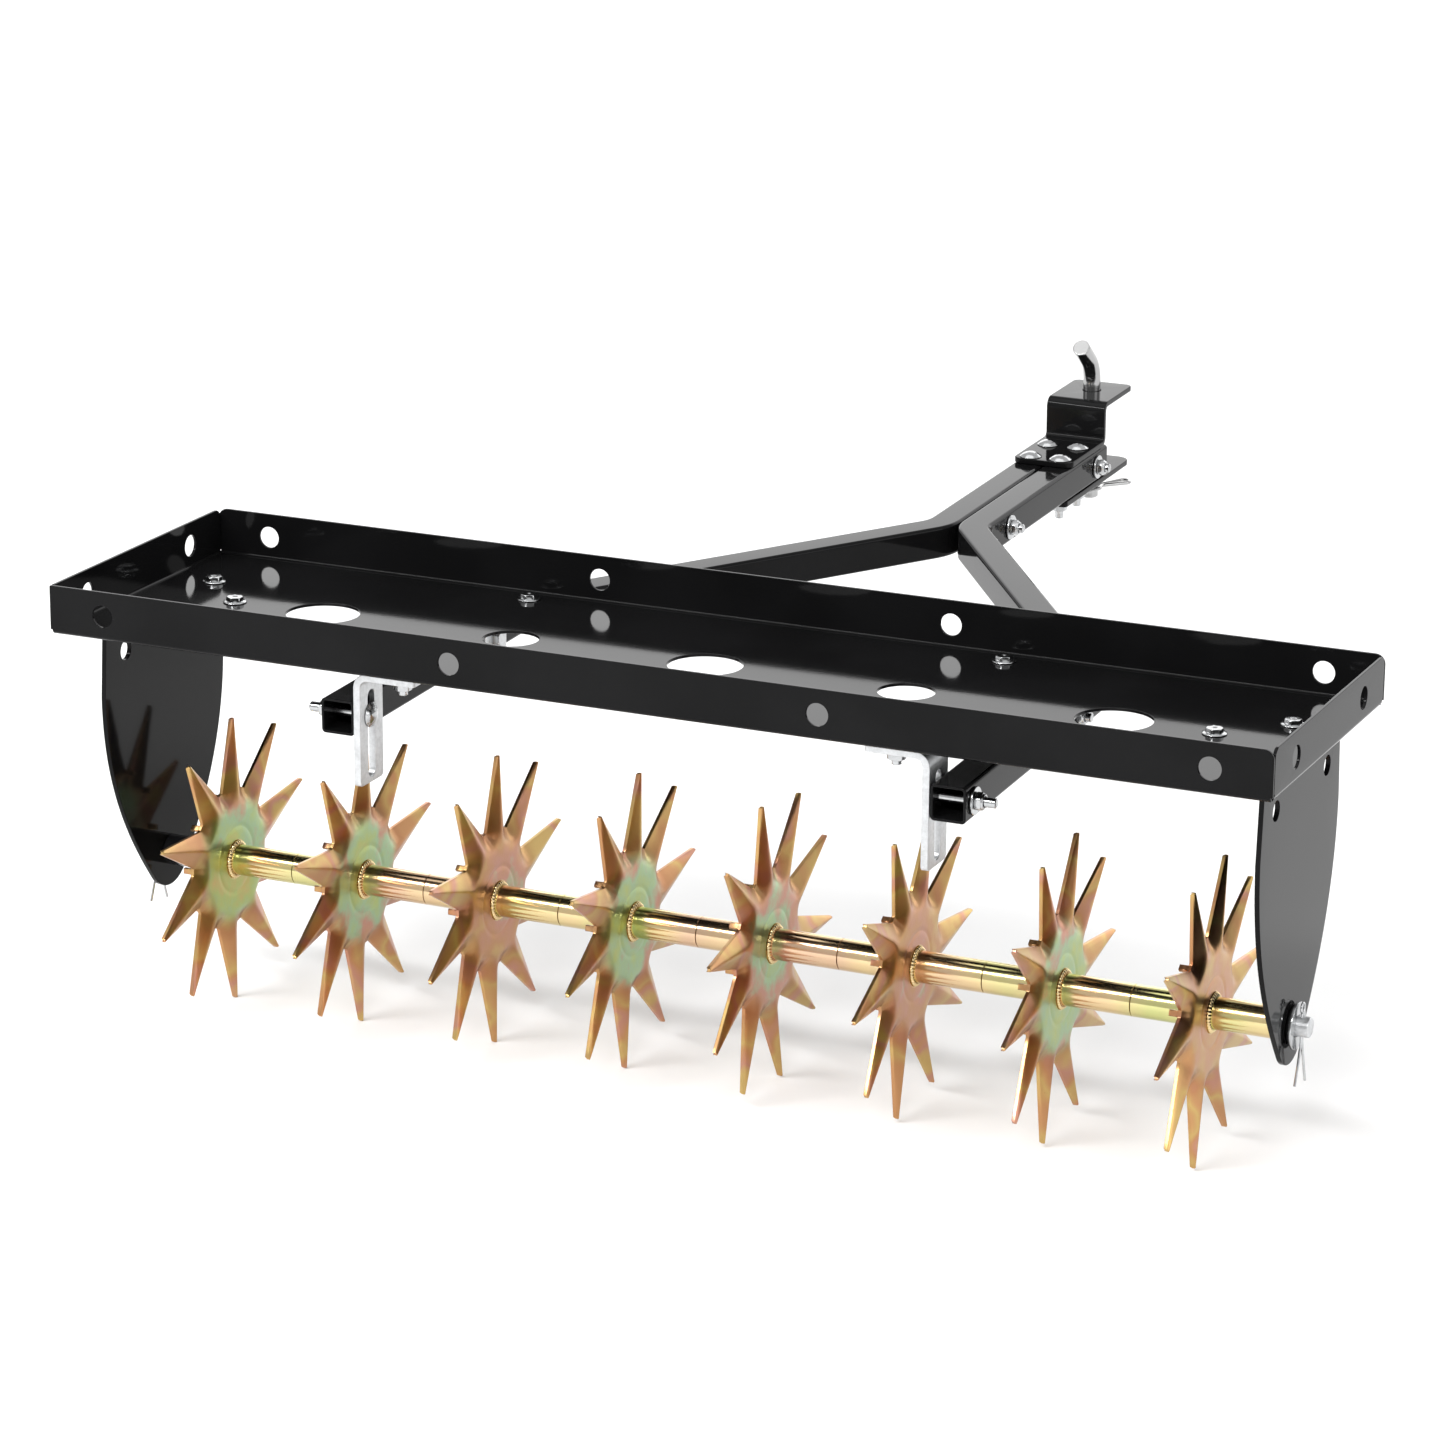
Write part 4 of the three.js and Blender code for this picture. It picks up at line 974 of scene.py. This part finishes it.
class AERATOR_OT_star_wheels(bpy.types.Operator):
    """Press the star wheels, with folded spikes, ears, a hub tube and its weld bead"""

    bl_idname = "aerator.star_wheels"
    bl_label = "Star Wheels"

    def ridge(self, share, sharpness):
        """How far down a folded spike's side is, from 0 at its ridge to 1 at its edge."""
        return (math.hypot(share, sharpness) - sharpness) / (math.hypot(1.0, sharpness) - sharpness)

    def polar(self, radius, turn, level):
        return Vector((radius * math.sin(turn), radius * math.cos(turn), level))

    def disc(self, columns):
        """The rings of the disc, out to the spikes' roots. A column is (turn, share of a spike)."""
        rings = []
        for radius in DISC_RINGS + ROOT_RINGS:
            fold = min(1.0, max(0.0, (radius - DISC_RADIUS) / (SPIKE_ROOT_RADIUS - DISC_RADIUS)))
            ease = fold * fold * (3 - 2 * fold)
            dimple = DIMPLE_DEPTH * math.exp(-((radius - DIMPLE_RADIUS) / 1.6) ** 2)
            rings.append([
                self.polar(
                    radius, number * SPIKE_STEP + SPIKE_SWEEP + turn,
                    -SPIKE_FOLD * ease * self.ridge(share, 0.5 - 0.4 * fold) - dimple,
                )
                for number in range(SPIKES) for turn, share in columns
            ])
        return rings

    def spike(self, number, root, shares):
        """The rows of a spike, from its root to its blunt tip."""
        tip = number * SPIKE_STEP
        across = Vector((math.cos(tip), -math.sin(tip), 0.0))
        end = self.polar(STAR_RADIUS - 1.0, tip, 0.0)
        rows = []
        for step in range(1, SPIKE_STAGES + 1):
            stage = step / SPIKE_STAGES
            depth = (1 - stage) * SPIKE_FOLD + stage * TIP_FOLD
            row = []
            for spot, share in zip(root, shares):
                flat = spot.lerp(end + TIP_HALF_WIDTH * share * across, stage)
                row.append(Vector((flat.x, flat.y, -stage - depth * self.ridge(share, 0.1))))
            rows.append(row)
        rounding = self.polar(STAR_RADIUS - 0.1, tip, -1.2)
        return rows + [[rounding + 0.7 * share * across for share in shares]]

    def pressed_face(self):
        """The front of the star: points are (Y, Z, X) from its middle."""
        half = (0.12, 0.26, 0.42, 0.6, 0.8, 1.0)
        shares = [-share for share in reversed(half)] + [0.0, *half]
        root = SPIKE_ROOT_SHARE * SPIKE_STEP
        web = 0.5 * SPIKE_STEP
        columns = [(-web, -1.0), (-(web + root) / 2, -1.0)]
        columns += [(share * root, share) for share in shares] + [((web + root) / 2, 1.0)]
        front = []
        faces = []
        around = len(columns) * SPIKES
        for ring in self.disc(columns):
            outer = len(front)
            inner = outer - around
            for n in range(around if front else 0):
                after = (n + 1) % around
                faces.append((inner + n, inner + after, outer + after, outer + n))
            front += ring
        for number in range(SPIKES):
            below = [outer + number * len(columns) + 2 + n for n in range(len(shares))]
            for row in self.spike(number, [front[n] for n in below], shares):
                above = list(range(len(front), len(front) + len(row)))
                front += row
                faces += zip(below, below[1:], above[1:], above)
                below = above
        return front, faces

    def weld(self, solid, hub, along, bead):
        """A rippled bead round the hub, in front of the disc."""
        ripples = 34

        def row(angle):
            def spot(turn):
                size = bead * (1.0 + 0.10 * math.sin(ripples * turn) + 0.05 * math.sin(5 * turn))
                return HUB_RADIUS + size * math.sin(angle), along + size * math.cos(angle) * 0.9
            return spot

        solid.spin([
            (HUB_RADIUS - 0.4, along - 0.5), *(row(math.pi / 2 * n / 5) for n in range(5, -1, -1)),
            (HUB_RADIUS - 0.4, along + 0.8 * bead),
        ], hub, 6 * ripples)

    def ears(self, solid, turn):
        """Small square ears bent back between the spikes."""
        corners = [(-1, 0), (1, 0), (1, 1), (-1, 1)]
        outline = rounded([(x * EAR_WIDTH / 2, EAR_RADIUS + y * EAR_HEIGHT, 0.8) for x, y in corners], 3)
        for number in range(SPIKES):
            angle = (number + 0.5) * SPIKE_STEP + SPIKE_SWEEP
            ear = turn @ Matrix.Rotation(-angle, 4, "X")
            root = -SPIKE_FOLD - 1.0
            solid.run([
                [ear @ Vector((x, across, up)) for across, up in outline] for x in (root - EAR_LENGTH, root)
            ], False)

    def execute(self, context):
        front, faces = self.pressed_face()
        for number in range(STAR_COUNT):
            node = f"star_wheel_{number + 1}"
            low, high = box_mm(node)
            length = high.x - low.x
            middle = Vector((low.x + STAR_ALONG_HUB * length, AXLE.y, AXLE.z))
            turn = Matrix.Translation(middle) @ Matrix.Rotation(-math.radians(STAR_TURN[number]), 4, "X")

            def place(point):
                return turn @ Vector((point.z, point.x, point.y))

            solid = Solid()
            solid.thicken(front, faces, STAR_SHEET, 0.45, place)
            hub = on_axle(low.x)
            solid.spin(ring_rows(HUB_BORE, HUB_RADIUS, length, 0.5), hub, 64)
            self.weld(solid, hub, STAR_ALONG_HUB * length, context.scene.aerator_sizes.weld_bead / MM)
            self.ears(solid, turn)
            solid.make(f"spiked_star_{number + 1}", f"star_{number + 1}", "yellow_zinc", node)
        return {"FINISHED"}


class AERATOR_OT_axle(bpy.types.Operator):
    """Turn the axle, its bushes and washers, and bend its split pins"""

    bl_idname = "aerator.axle"
    bl_label = "Axle, Bushes and Split Pins"

    def turn(self, name, body, slot, node, hand, rows):
        """Turns a piece on the axle from rows that depend on its length and radius."""
        low, high = box_mm(node)
        start = low.x if hand > 0 else high.x
        rows = rows(high.x - low.x, (high.z - low.z) / 2)
        turn_piece(name, body, slot, node, rows, on_axle(start, hand), 64)

    def rod(self, length, _):
        return [
            (0, 0.0), (AXLE_RADIUS - 1.0, 0.0), (AXLE_RADIUS, 1.0), (AXLE_RADIUS, length / 2),
            (AXLE_RADIUS, length - 1.0), (AXLE_RADIUS - 1.0, length), (0, length),
        ]

    def bush(self, length, flange):
        bore = AXLE_RADIUS + GAP
        seat = length - BUSH_FLANGE
        return [
            (bore, 0.3), (bore + 0.3, 0.0), (BUSH_RADIUS - 0.4, 0.0), (BUSH_RADIUS, 0.4), (BUSH_RADIUS, seat),
            (flange, seat), (flange, length - 0.4), (flange - 0.4, length), (bore + 0.3, length),
            (bore, length - 0.3),
        ]

    def washer(self, length, radius):
        return ring_rows(AXLE_RADIUS + 0.4, radius, length)

    def split_pin(self, side):
        low, high = box_mm(f"cotter_pin_{side}")
        eye = arc_points((0.0, AXLE_RADIUS + 7), COTTER_EYE, math.radians(-60), math.radians(240), 24)
        leg = COTTER_WIRE + 0.1
        above, below, knee = AXLE_RADIUS + 2.5, -AXLE_RADIUS - 4, -AXLE_RADIUS - 20
        outline = [
            (COTTER_SPREAD, -COTTER_DROP), (6.2, knee), (leg, below), (leg, above), *eye,
            (-leg, above), (-leg, below), (-6.2, knee), (-COTTER_SPREAD, 4 - COTTER_DROP),
        ]

        def place(point):
            return Vector(((low.x + high.x) / 2 + point.z, AXLE.y + point.x, AXLE.z + point.y))

        names = (f"split_pin_{side}", "axle", "zinc_fastener", f"cotter_pin_{side}")
        bend_piece(*names, outline, COTTER_WIRE, 12, 0.3, place)

    def execute(self, context):
        self.turn("axle_rod", "axle", "bright_zinc", "axle", 1, self.rod)
        for side, hand in HANDS:
            self.turn(f"nylon_bush_{side}", "frame", "black_nylon", f"axle_bush_{side}", hand, self.bush)
            zinc = ("axle", "zinc_fastener", f"axle_washer_{side}")
            self.turn(f"thrust_washer_{side}", *zinc, hand, self.washer)
            self.split_pin(side)
        return {"FINISHED"}


class AERATOR_OT_tow_bars(bpy.types.Operator):
    """Bend the two square tow bars"""

    bl_idname = "aerator.tow_bars"
    bl_label = "Tow Bars"

    def centre_line(self):
        lean = math.atan2(BAR_REAR_X - BAR_NOSE_X, BAR_BEND_NOSE - BAR_BEND_REAR)
        setback = BAR_BEND_RADIUS * math.tan(lean / 2)
        rear = (BAR_REAR_X - BAR_BEND_RADIUS, BAR_BEND_REAR - setback)
        nose = (BAR_NOSE_X + BAR_BEND_RADIUS, BAR_BEND_NOSE + setback)
        edge = 0.6
        return [Vector((x, y, 0.0)) for x, y in (
            (BAR_REAR_X, BAR_REAR), (BAR_REAR_X, BAR_REAR + edge),
            *arc_points(rear, BAR_BEND_RADIUS, 0.0, lean, 12),
            *arc_points(nose, BAR_BEND_RADIUS, math.pi + lean, math.pi, 12),
            (BAR_NOSE_X, BAR_NOSE - edge), (BAR_NOSE_X, BAR_NOSE),
        )]

    def section(self, half, corner):
        return rounded([(x * half, y * half, corner) for x, y in ((-1, -1), (1, -1), (1, 1), (-1, 1))], 5)

    def tube(self, path, size, end_size):
        """Rings along a path, from the (half width, corner) of the section and of its ends."""
        sizes = [end_size] + [size] * (len(path) - 2) + [end_size]
        up = Vector((0, 0, 1))
        return [
            [point + across * side + lift * up for across, lift in self.section(*size)]
            for (point, side, _), size in zip(path, sizes)
        ]

    def execute(self, context):
        path = level_path(self.centre_line())
        half = BAR / 2
        bore = half - BAR_WALL
        stations = self.tube(path, (half, BAR_CORNER), (half - 0.5, BAR_CORNER - 0.5))
        stations += self.tube(path[::-1], (bore, BAR_CORNER - 1.6), (bore + 0.4, BAR_CORNER - 1.2))
        for side, hand in HANDS:
            def place(point, hand=hand):
                return TONGUE @ Vector((hand * point.x, point.y, point.z))

            solid = Solid()
            solid.run(stations, True, place)
            solid.make(f"square_bar_{side}", "tongue", "black_powder_coat", f"tow_bar_{side}")
        return {"FINISHED"}


class AERATOR_OT_hitch(bpy.types.Operator):
    """Fold the upper hitch bracket and round off the lower plate"""

    bl_idname = "aerator.hitch"
    bl_label = "Hitch Plates"

    def plate(self, name, node, rear, front, radii, pin, creases, place):
        """A plate with rear and front corners of those radii, and a hole for the pin."""
        half = HITCH_HALF_WIDTH
        ends = ((rear, radii[0]), (front, radii[1]))
        near = [(x, -half, radius) for x, radius in ends]
        far = [(x, half, radius) for x, radius in reversed(ends)]
        loops = [rounded(near + far), circle(pin, 0.0, PIN_HOLE)]
        names = (name, "tongue", "black_powder_coat", node)
        fold_piece(*names, loops, HITCH_PLATE, creases, place, THICK_ROUNDING)

    def execute(self, context):
        inner = HITCH_BEND - HITCH_PLATE
        stretches = [
            (HITCH_RISER - inner - HITCH_REAR, None), quarter(inner), (HITCH_RISE - inner - HITCH_BEND, None),
            quarter(-HITCH_BEND), (HITCH_FRONT - HITCH_RISER - HITCH_BEND, None),
        ]
        fold = Fold((HITCH_REAR, BAR / 2 + GAP + HITCH_PLATE), 0.0, 0.0, stretches)
        total = sum(length for length, _ in stretches)

        def place_upper(point):
            y, z = fold.at(point.x, point.z)
            return TONGUE @ Vector((point.y, y, z))

        def place_lower(point):
            return TONGUE @ Vector((point.y, point.x, -BAR / 2 - GAP + point.z))

        upper = ("draw_bracket", "hitch_upper_bracket", 0.0, total, (8.0, 6.0))
        self.plate(*upper, total - (HITCH_FRONT - PIN_ALONG), [(0, fold.creases)], place_upper)
        lower = ("draw_plate", "hitch_lower_plate", HITCH_LOWER_REAR, HITCH_FRONT, (4.0, 12.0))
        self.plate(*lower, PIN_ALONG, [], place_lower)
        return {"FINISHED"}


class AERATOR_OT_hitch_pin(bpy.types.Operator):
    """Bend the hitch pin and its spring clip"""

    bl_idname = "aerator.hitch_pin"
    bl_label = "Hitch Pin and Clip"

    def execute(self, context):
        start = BAR / 2 + GAP + HITCH_RISE + HITCH_PLATE + PIN_ABOVE
        bend = arc_points((PIN_ALONG - PIN_BEND_RADIUS, start), PIN_BEND_RADIUS, 0.0, PIN_BEND, 20)
        run = PIN_BEND + math.pi / 2
        grip = (bend[-1][0] + PIN_GRIP * math.cos(run), bend[-1][1] + PIN_GRIP * math.sin(run))
        outline = [(PIN_ALONG, PIN_BOTTOM), (PIN_ALONG, CLIP_BELOW), *bend, grip]

        def place_pin(point):
            return TONGUE @ Vector((point.z, point.x, point.y))

        names = ("bent_pin", "hitch_pin", "chrome_pin", "hitch_pin")
        bend_piece(*names, outline, PIN_RADIUS, 48, 1.2, place_pin)

        bow = PIN_RADIUS + CLIP_WIRE + 0.4
        loop = arc_points((CLIP_LOOP, CLIP_LENGTH), CLIP_LOOP, math.pi, math.radians(-20), 18)
        hug = arc_points((0.0, 0.0), bow, math.radians(48), 0.0, 4)
        waist = smooth_line([loop[-1], (7.0, 25.0), (3.8, 14.0), *hug, (13.0, -15.0)])
        outline = [(0.0, -14.0), (0.0, CLIP_LENGTH - 2.0), *loop[:-1], *waist]
        turn = Matrix.Translation((0, PIN_ALONG, CLIP_BELOW)) @ Matrix.Rotation(-CLIP_TURN, 4, "Z")

        def place_clip(point):
            return TONGUE @ (turn @ point)

        names = ("spring_clip", "hitch_clip", "chrome_pin", "hitch_clip")
        bend_piece(*names, outline, CLIP_WIRE, 14, 0.5, place_clip)
        return {"FINISHED"}


class AERATOR_OT_fasteners(bpy.types.Operator):
    """Make the bolts, nuts and washers"""

    bl_idname = "aerator.fasteners"
    bl_label = "Fasteners"

    def one(self, name, body, node, rows, matrix, sides=48):
        turn_piece(name, body, "zinc_fastener", node, rows, matrix, sides)

    def tray_bolts(self, side):
        """Flanged bolts down through the tray floor, each with its nut below what it holds."""
        seat = TRAY_LOW.z + TRAY_SHEET + GAP
        for node, thick in (
            (f"plate_bolt_{side}_1", PLATE_SHEET), (f"plate_bolt_{side}_2", PLATE_SHEET),
            (f"strap_bolt_{side}", STRAP), (f"bracket_bolt_{side}", BRACKET),
        ):
            low, high = box_mm(node)
            middle = (low + high) / 2
            under = TRAY_LOW.z - GAP - thick
            end = under - NUT_HEIGHT - TRAY_BOLT_TAIL - seat
            solid = Solid()
            solid.spin(flange_bolt_rows(end), Matrix.Translation((middle.x, middle.y, seat)))
            nut = Matrix.Translation((middle.x, middle.y, under - GAP)) @ Matrix.Rotation(math.pi, 4, "X")
            solid.spin(flange_nut_rows(), nut)
            solid.make(f"flanged_{node}", "frame", "zinc_fastener", node)

    def hinge_bolt(self, side, hand):
        seat = BAR_REAR_X - BAR / 2 - 2 * GAP - BRACKET
        nut = BAR_REAR_X + BAR / 2 + GAP
        rows = hex_bolt_rows(-(nut + NUT_HEIGHT + PIVOT_BOLT_TAIL - seat))
        matrix = pointing((hand * seat, HINGE.y, HINGE.z), (-hand, 0, 0))
        self.one(f"pivot_bolt_{side}", "frame", f"hinge_bolt_{side}", rows, matrix)
        matrix = pointing((hand * nut, HINGE.y, HINGE.z), (hand, 0, 0))
        self.one(f"pivot_nut_{side}", "frame", f"hinge_nut_{side}", nut_rows(), matrix)

    def washer_and_nut(self, start, hand, along, name, node, which):
        for part, rows, x in (
            ("washer", ring_rows(BOLT_RADIUS + 0.3, WASHER_RADIUS, WASHER), start),
            ("nut", nut_rows(), start + WASHER + GAP),
        ):
            matrix = on_tongue(hand * x, along, 0.0, (hand, 0, 0))
            self.one(f"{name}_{part}_{which}", "tongue", f"{node}_{part}_{which}", rows, matrix)

    def slot_bolt(self, side, hand):
        seat = BAR_REAR_X - BAR / 2 - 2 * GAP - STRAP
        outer = BAR_REAR_X + BAR / 2
        rows = dome_bolt_rows(-(outer + 2 * GAP + WASHER + NUT_HEIGHT + COACH_BOLT_TAIL - seat))
        matrix = on_tongue(hand * seat, SLOT_BOLT, 0.0, (-hand, 0, 0))
        self.one(f"coach_bolt_{side}", "tongue", f"slot_bolt_{side}", rows, matrix, 40)
        self.washer_and_nut(outer + GAP, hand, SLOT_BOLT, "coach", "slot", side)

    def hitch_bolts(self, side, hand):
        seat = BAR / 2 + 2 * GAP + HITCH_PLATE
        x = hand * BAR_NOSE_X
        for number, along in enumerate(HITCH_BOLTS, 1):
            which = f"{side}_{number}"
            rows = dome_bolt_rows(-2 * seat - NUT_HEIGHT - COACH_BOLT_TAIL)
            matrix = on_tongue(x, along, seat, (0, 0, 1))
            self.one(f"draw_bolt_{which}", "tongue", f"hitch_bolt_{which}", rows, matrix, 40)
            matrix = on_tongue(x, along, -seat, (0, 0, -1))
            self.one(f"draw_nut_{which}", "tongue", f"hitch_nut_{which}", flange_nut_rows(), matrix)

    def clamp_bolts(self):
        side = BAR_NOSE_X + BAR / 2 + GAP
        for number, along in enumerate(CLAMP_BOLTS, 1):
            rows = hex_bolt_rows(-(2 * side + WASHER + GAP + NUT_HEIGHT + CLAMP_BOLT_TAIL))
            matrix = on_tongue(-side, along, 0.0, (-1, 0, 0))
            self.one(f"cross_bolt_{number}", "tongue", f"clamp_bolt_{number}", rows, matrix)
            self.washer_and_nut(side, 1, along, "cross", "clamp", number)

    def execute(self, context):
        for side, hand in HANDS:
            self.tray_bolts(side)
            self.hinge_bolt(side, hand)
            self.slot_bolt(side, hand)
            self.hitch_bolts(side, hand)
        self.clamp_bolts()
        return {"FINISHED"}


class AERATOR_OT_stage(bpy.types.Operator):
    """Set the floor, the soft lights and the camera"""

    bl_idname = "aerator.stage"
    bl_label = "Stage"

    def put(self, name, data, matrix=None):
        thing = bpy.data.objects.new(name, data)
        if matrix:
            thing.matrix_world = matrix
        bpy.context.scene.collection.objects.link(thing)
        return thing

    def floor(self, stage):
        mesh = bpy.data.meshes.new("floor")
        half = stage.floor_size / 2
        corners = [(-half, -half, 0), (half, -half, 0), (half, half, 0), (-half, half, 0)]
        mesh.from_pydata(corners, [], [(0, 1, 2, 3)])
        mesh.materials.append(floor_paint(Shader("studio_floor"), stage))
        self.put("floor", mesh)

    def lights(self, stage):
        aim = Vector((0.0, -0.2, 0.25))
        for name, place, size, power in (
            ("rear_panel", (0.0, 5.0, 2.2), (9.0, 3.6), stage.rear_light),
            ("top_panel", (0.0, -0.6, 4.2), (4.5, 3.0), stage.top_light),
            ("strip_light", (-1.0, -3.2, 3.2), (5.0, 0.4), stage.strip_light),
            ("right_panel", (4.2, -0.4, 1.6), (3.0, 2.4), stage.side_light),
            ("left_panel", (-4.2, -1.6, 1.4), (2.4, 2.0), 0.6 * stage.side_light),
        ):
            light = bpy.data.lights.new(name, "AREA")
            light.shape = "RECTANGLE"
            light.size, light.size_y = size
            light.energy = power
            self.put(name, light, pointing(place, Vector(place) - aim))

    def world(self, stage):
        world = bpy.data.worlds.new("studio")
        world.use_nodes = True
        background = world.node_tree.nodes["Background"]
        background.inputs["Color"].default_value = (1.0, 1.0, 1.0, 1.0)
        background.inputs["Strength"].default_value = stage.world_light
        bpy.context.scene.world = world

    def camera(self, stage):
        turn, rise, roll = stage.camera_turn, stage.camera_rise, stage.camera_roll
        back = Vector((math.sin(turn) * math.cos(rise), -math.cos(turn) * math.cos(rise), math.sin(rise)))
        right = Vector((math.cos(turn), math.sin(turn), 0.0))
        side = right * math.cos(roll) + back.cross(right) * math.sin(roll)
        matrix = Matrix((side, back.cross(side), back)).transposed().to_4x4()
        matrix.translation = Vector(stage.camera_place)
        data = bpy.data.cameras.new("camera")
        data.lens = stage.camera_lens
        data.sensor_width = 36.0
        bpy.context.scene.camera = self.put("camera", data, matrix)

    def execute(self, context):
        stage = context.scene.aerator_stage
        self.floor(stage)
        self.lights(stage)
        self.world(stage)
        self.camera(stage)
        context.scene.view_settings.view_transform = "Standard"
        return {"FINISHED"}


# ---- what a user would change ----


def setting(kind, **always):
    """A short way to declare properties of one kind."""

    def declare(name, description, default, **more):
        return kind(name=name, description=description, default=default, **always, **more)

    return declare


colour_property = setting(FloatVectorProperty, subtype="COLOR", min=0.0, max=1.0)
length_property = setting(FloatProperty, subtype="DISTANCE", unit="LENGTH", min=0.0, precision=5)
angle_property = setting(FloatProperty, subtype="ANGLE", unit="ROTATION")
power_property = setting(FloatProperty, unit="POWER")
plain_property = setting(FloatProperty)


class AeratorSizes(bpy.types.PropertyGroup):
    edge_rounding: length_property("Edge Rounding", "Radius of the coated sheet's edges", 0.00045)
    tray_bend: length_property("Tray Bend", "Inner radius of the tray's folds", 0.002)
    weld_bead: length_property("Weld Bead", "Size of the bead between a star and its hub", 0.0032)
    thread_pitch: length_property("Thread Pitch", "Distance between the ridges of the bolt threads", 0.00125)


class AeratorFinish(bpy.types.PropertyGroup):
    black: colour_property("Black Coat", "Colour of the powder coat", (0.0060, 0.0060, 0.0063))
    black_roughness: plain_property(
        "Coat Roughness", "Roughness of the powder coat", 0.05, min=0.0, max=1.0, subtype="FACTOR"
    )
    black_index: plain_property("Coat Index", "Refractive index of the powder coat", 1.18, min=1.0, max=3.0)
    zinc: colour_property("Zinc", "Colour of the bright zinc plate", (0.64, 0.65, 0.66))
    chrome: colour_property("Pin", "Colour of the polished pin", (0.42, 0.42, 0.42))
    # Also the black of the painted reflection of the side plate on the first hub's tube.
    nylon_and_reflected_black: colour_property("Nylon", "Colour of the bushes", (0.010, 0.010, 0.011))
    gold: colour_property("Gold", "Gold of the yellow zinc", (0.54, 0.37, 0.14))
    copper: colour_property("Copper", "Copper of the yellow zinc", (0.50, 0.26, 0.12))
    green: colour_property("Green", "Green of the yellow zinc", (0.40, 0.46, 0.16))
    teal: colour_property("Teal", "Teal of the yellow zinc", (0.33, 0.46, 0.27))
    pink: colour_property("Pink", "Pink of the yellow zinc", (0.50, 0.25, 0.18))
    # The colour of the painted shade over the spikes' folds.
    fold_shade: colour_property("Bruise", "Dark film where the spikes are folded", (0.34, 0.13, 0.07))
    olive: colour_property("Olive", "Olive of the hub tubes", (0.56, 0.58, 0.24))
    rose: colour_property("Rose", "Rose of the hub tubes", (0.64, 0.42, 0.30))
    pale_gold: colour_property("Pale Gold", "Pale gold of the hub tubes and weld beads", (0.72, 0.56, 0.30))


class AeratorStage(bpy.types.PropertyGroup):
    floor_colour: colour_property("Floor", "Colour of the floor", (0.88, 0.88, 0.88))
    floor_size: length_property("Floor Size", "Length and width of the floor", 40.0)
    rear_light: power_property("Rear Light", "Power of the panel behind", 150.0)
    top_light: power_property("Top Light", "Power of the panel above", 50.0)
    strip_light: power_property("Strip Light", "Power of the long strip in front", 200.0)
    side_light: power_property("Side Light", "Power of the side panels", 40.0)
    world_light: plain_property("Fill Light", "Strength of the even fill", 0.75, min=0.0)
    camera_place: FloatVectorProperty(
        name="Camera Place", description="Where the camera stands", default=(1.5234, -3.7700, 1.4342),
        subtype="XYZ", unit="LENGTH",
    )
    camera_turn: angle_property("Camera Turn", "Turn to the right of straight behind", math.radians(24.026))
    camera_rise: angle_property("Camera Rise", "Angle above level", math.radians(17.084))
    camera_roll: angle_property("Camera Roll", "Roll about the line of sight", math.radians(0.452))
    camera_lens: plain_property("Lens", "Focal length", 123.69, unit="CAMERA")


OPERATORS = (
    AERATOR_OT_weight_tray,
    AERATOR_OT_side_plates,
    AERATOR_OT_straps,
    AERATOR_OT_star_wheels,
    AERATOR_OT_axle,
    AERATOR_OT_tow_bars,
    AERATOR_OT_hitch,
    AERATOR_OT_hitch_pin,
    AERATOR_OT_fasteners,
    AERATOR_OT_stage,
)


class AERATOR_PT_build(bpy.types.Panel):
    """The aerator's pieces and settings"""

    bl_idname = "AERATOR_PT_build"
    bl_label = "Spike Aerator"
    bl_space_type = "VIEW_3D"
    bl_region_type = "UI"
    bl_category = "Aerator"

    def draw(self, context):
        scene = context.scene
        for settings in (scene.aerator_sizes, scene.aerator_finish, scene.aerator_stage):
            column = self.layout.column()
            for name in settings.__annotations__:
                column.prop(settings, name)
        for operator in OPERATORS:
            self.layout.operator(operator.bl_idname)


SETTINGS = {"aerator_sizes": AeratorSizes, "aerator_finish": AeratorFinish, "aerator_stage": AeratorStage}
CLASSES = (*SETTINGS.values(), *OPERATORS, AERATOR_PT_build)


def register():
    for cls in CLASSES:
        bpy.utils.register_class(cls)
    for name, settings in SETTINGS.items():
        setattr(bpy.types.Scene, name, PointerProperty(type=settings))


def unregister():
    for name in SETTINGS:
        delattr(bpy.types.Scene, name)
    for cls in reversed(CLASSES):
        bpy.utils.unregister_class(cls)


def main():
    register()
    for operator in OPERATORS:
        group, name = operator.bl_idname.split(".")
        result = getattr(getattr(bpy.ops, group), name)()
        if result != {"FINISHED"}:
            raise RuntimeError(f"{operator.bl_label} did not finish")


if __name__ == "__main__":
    main()
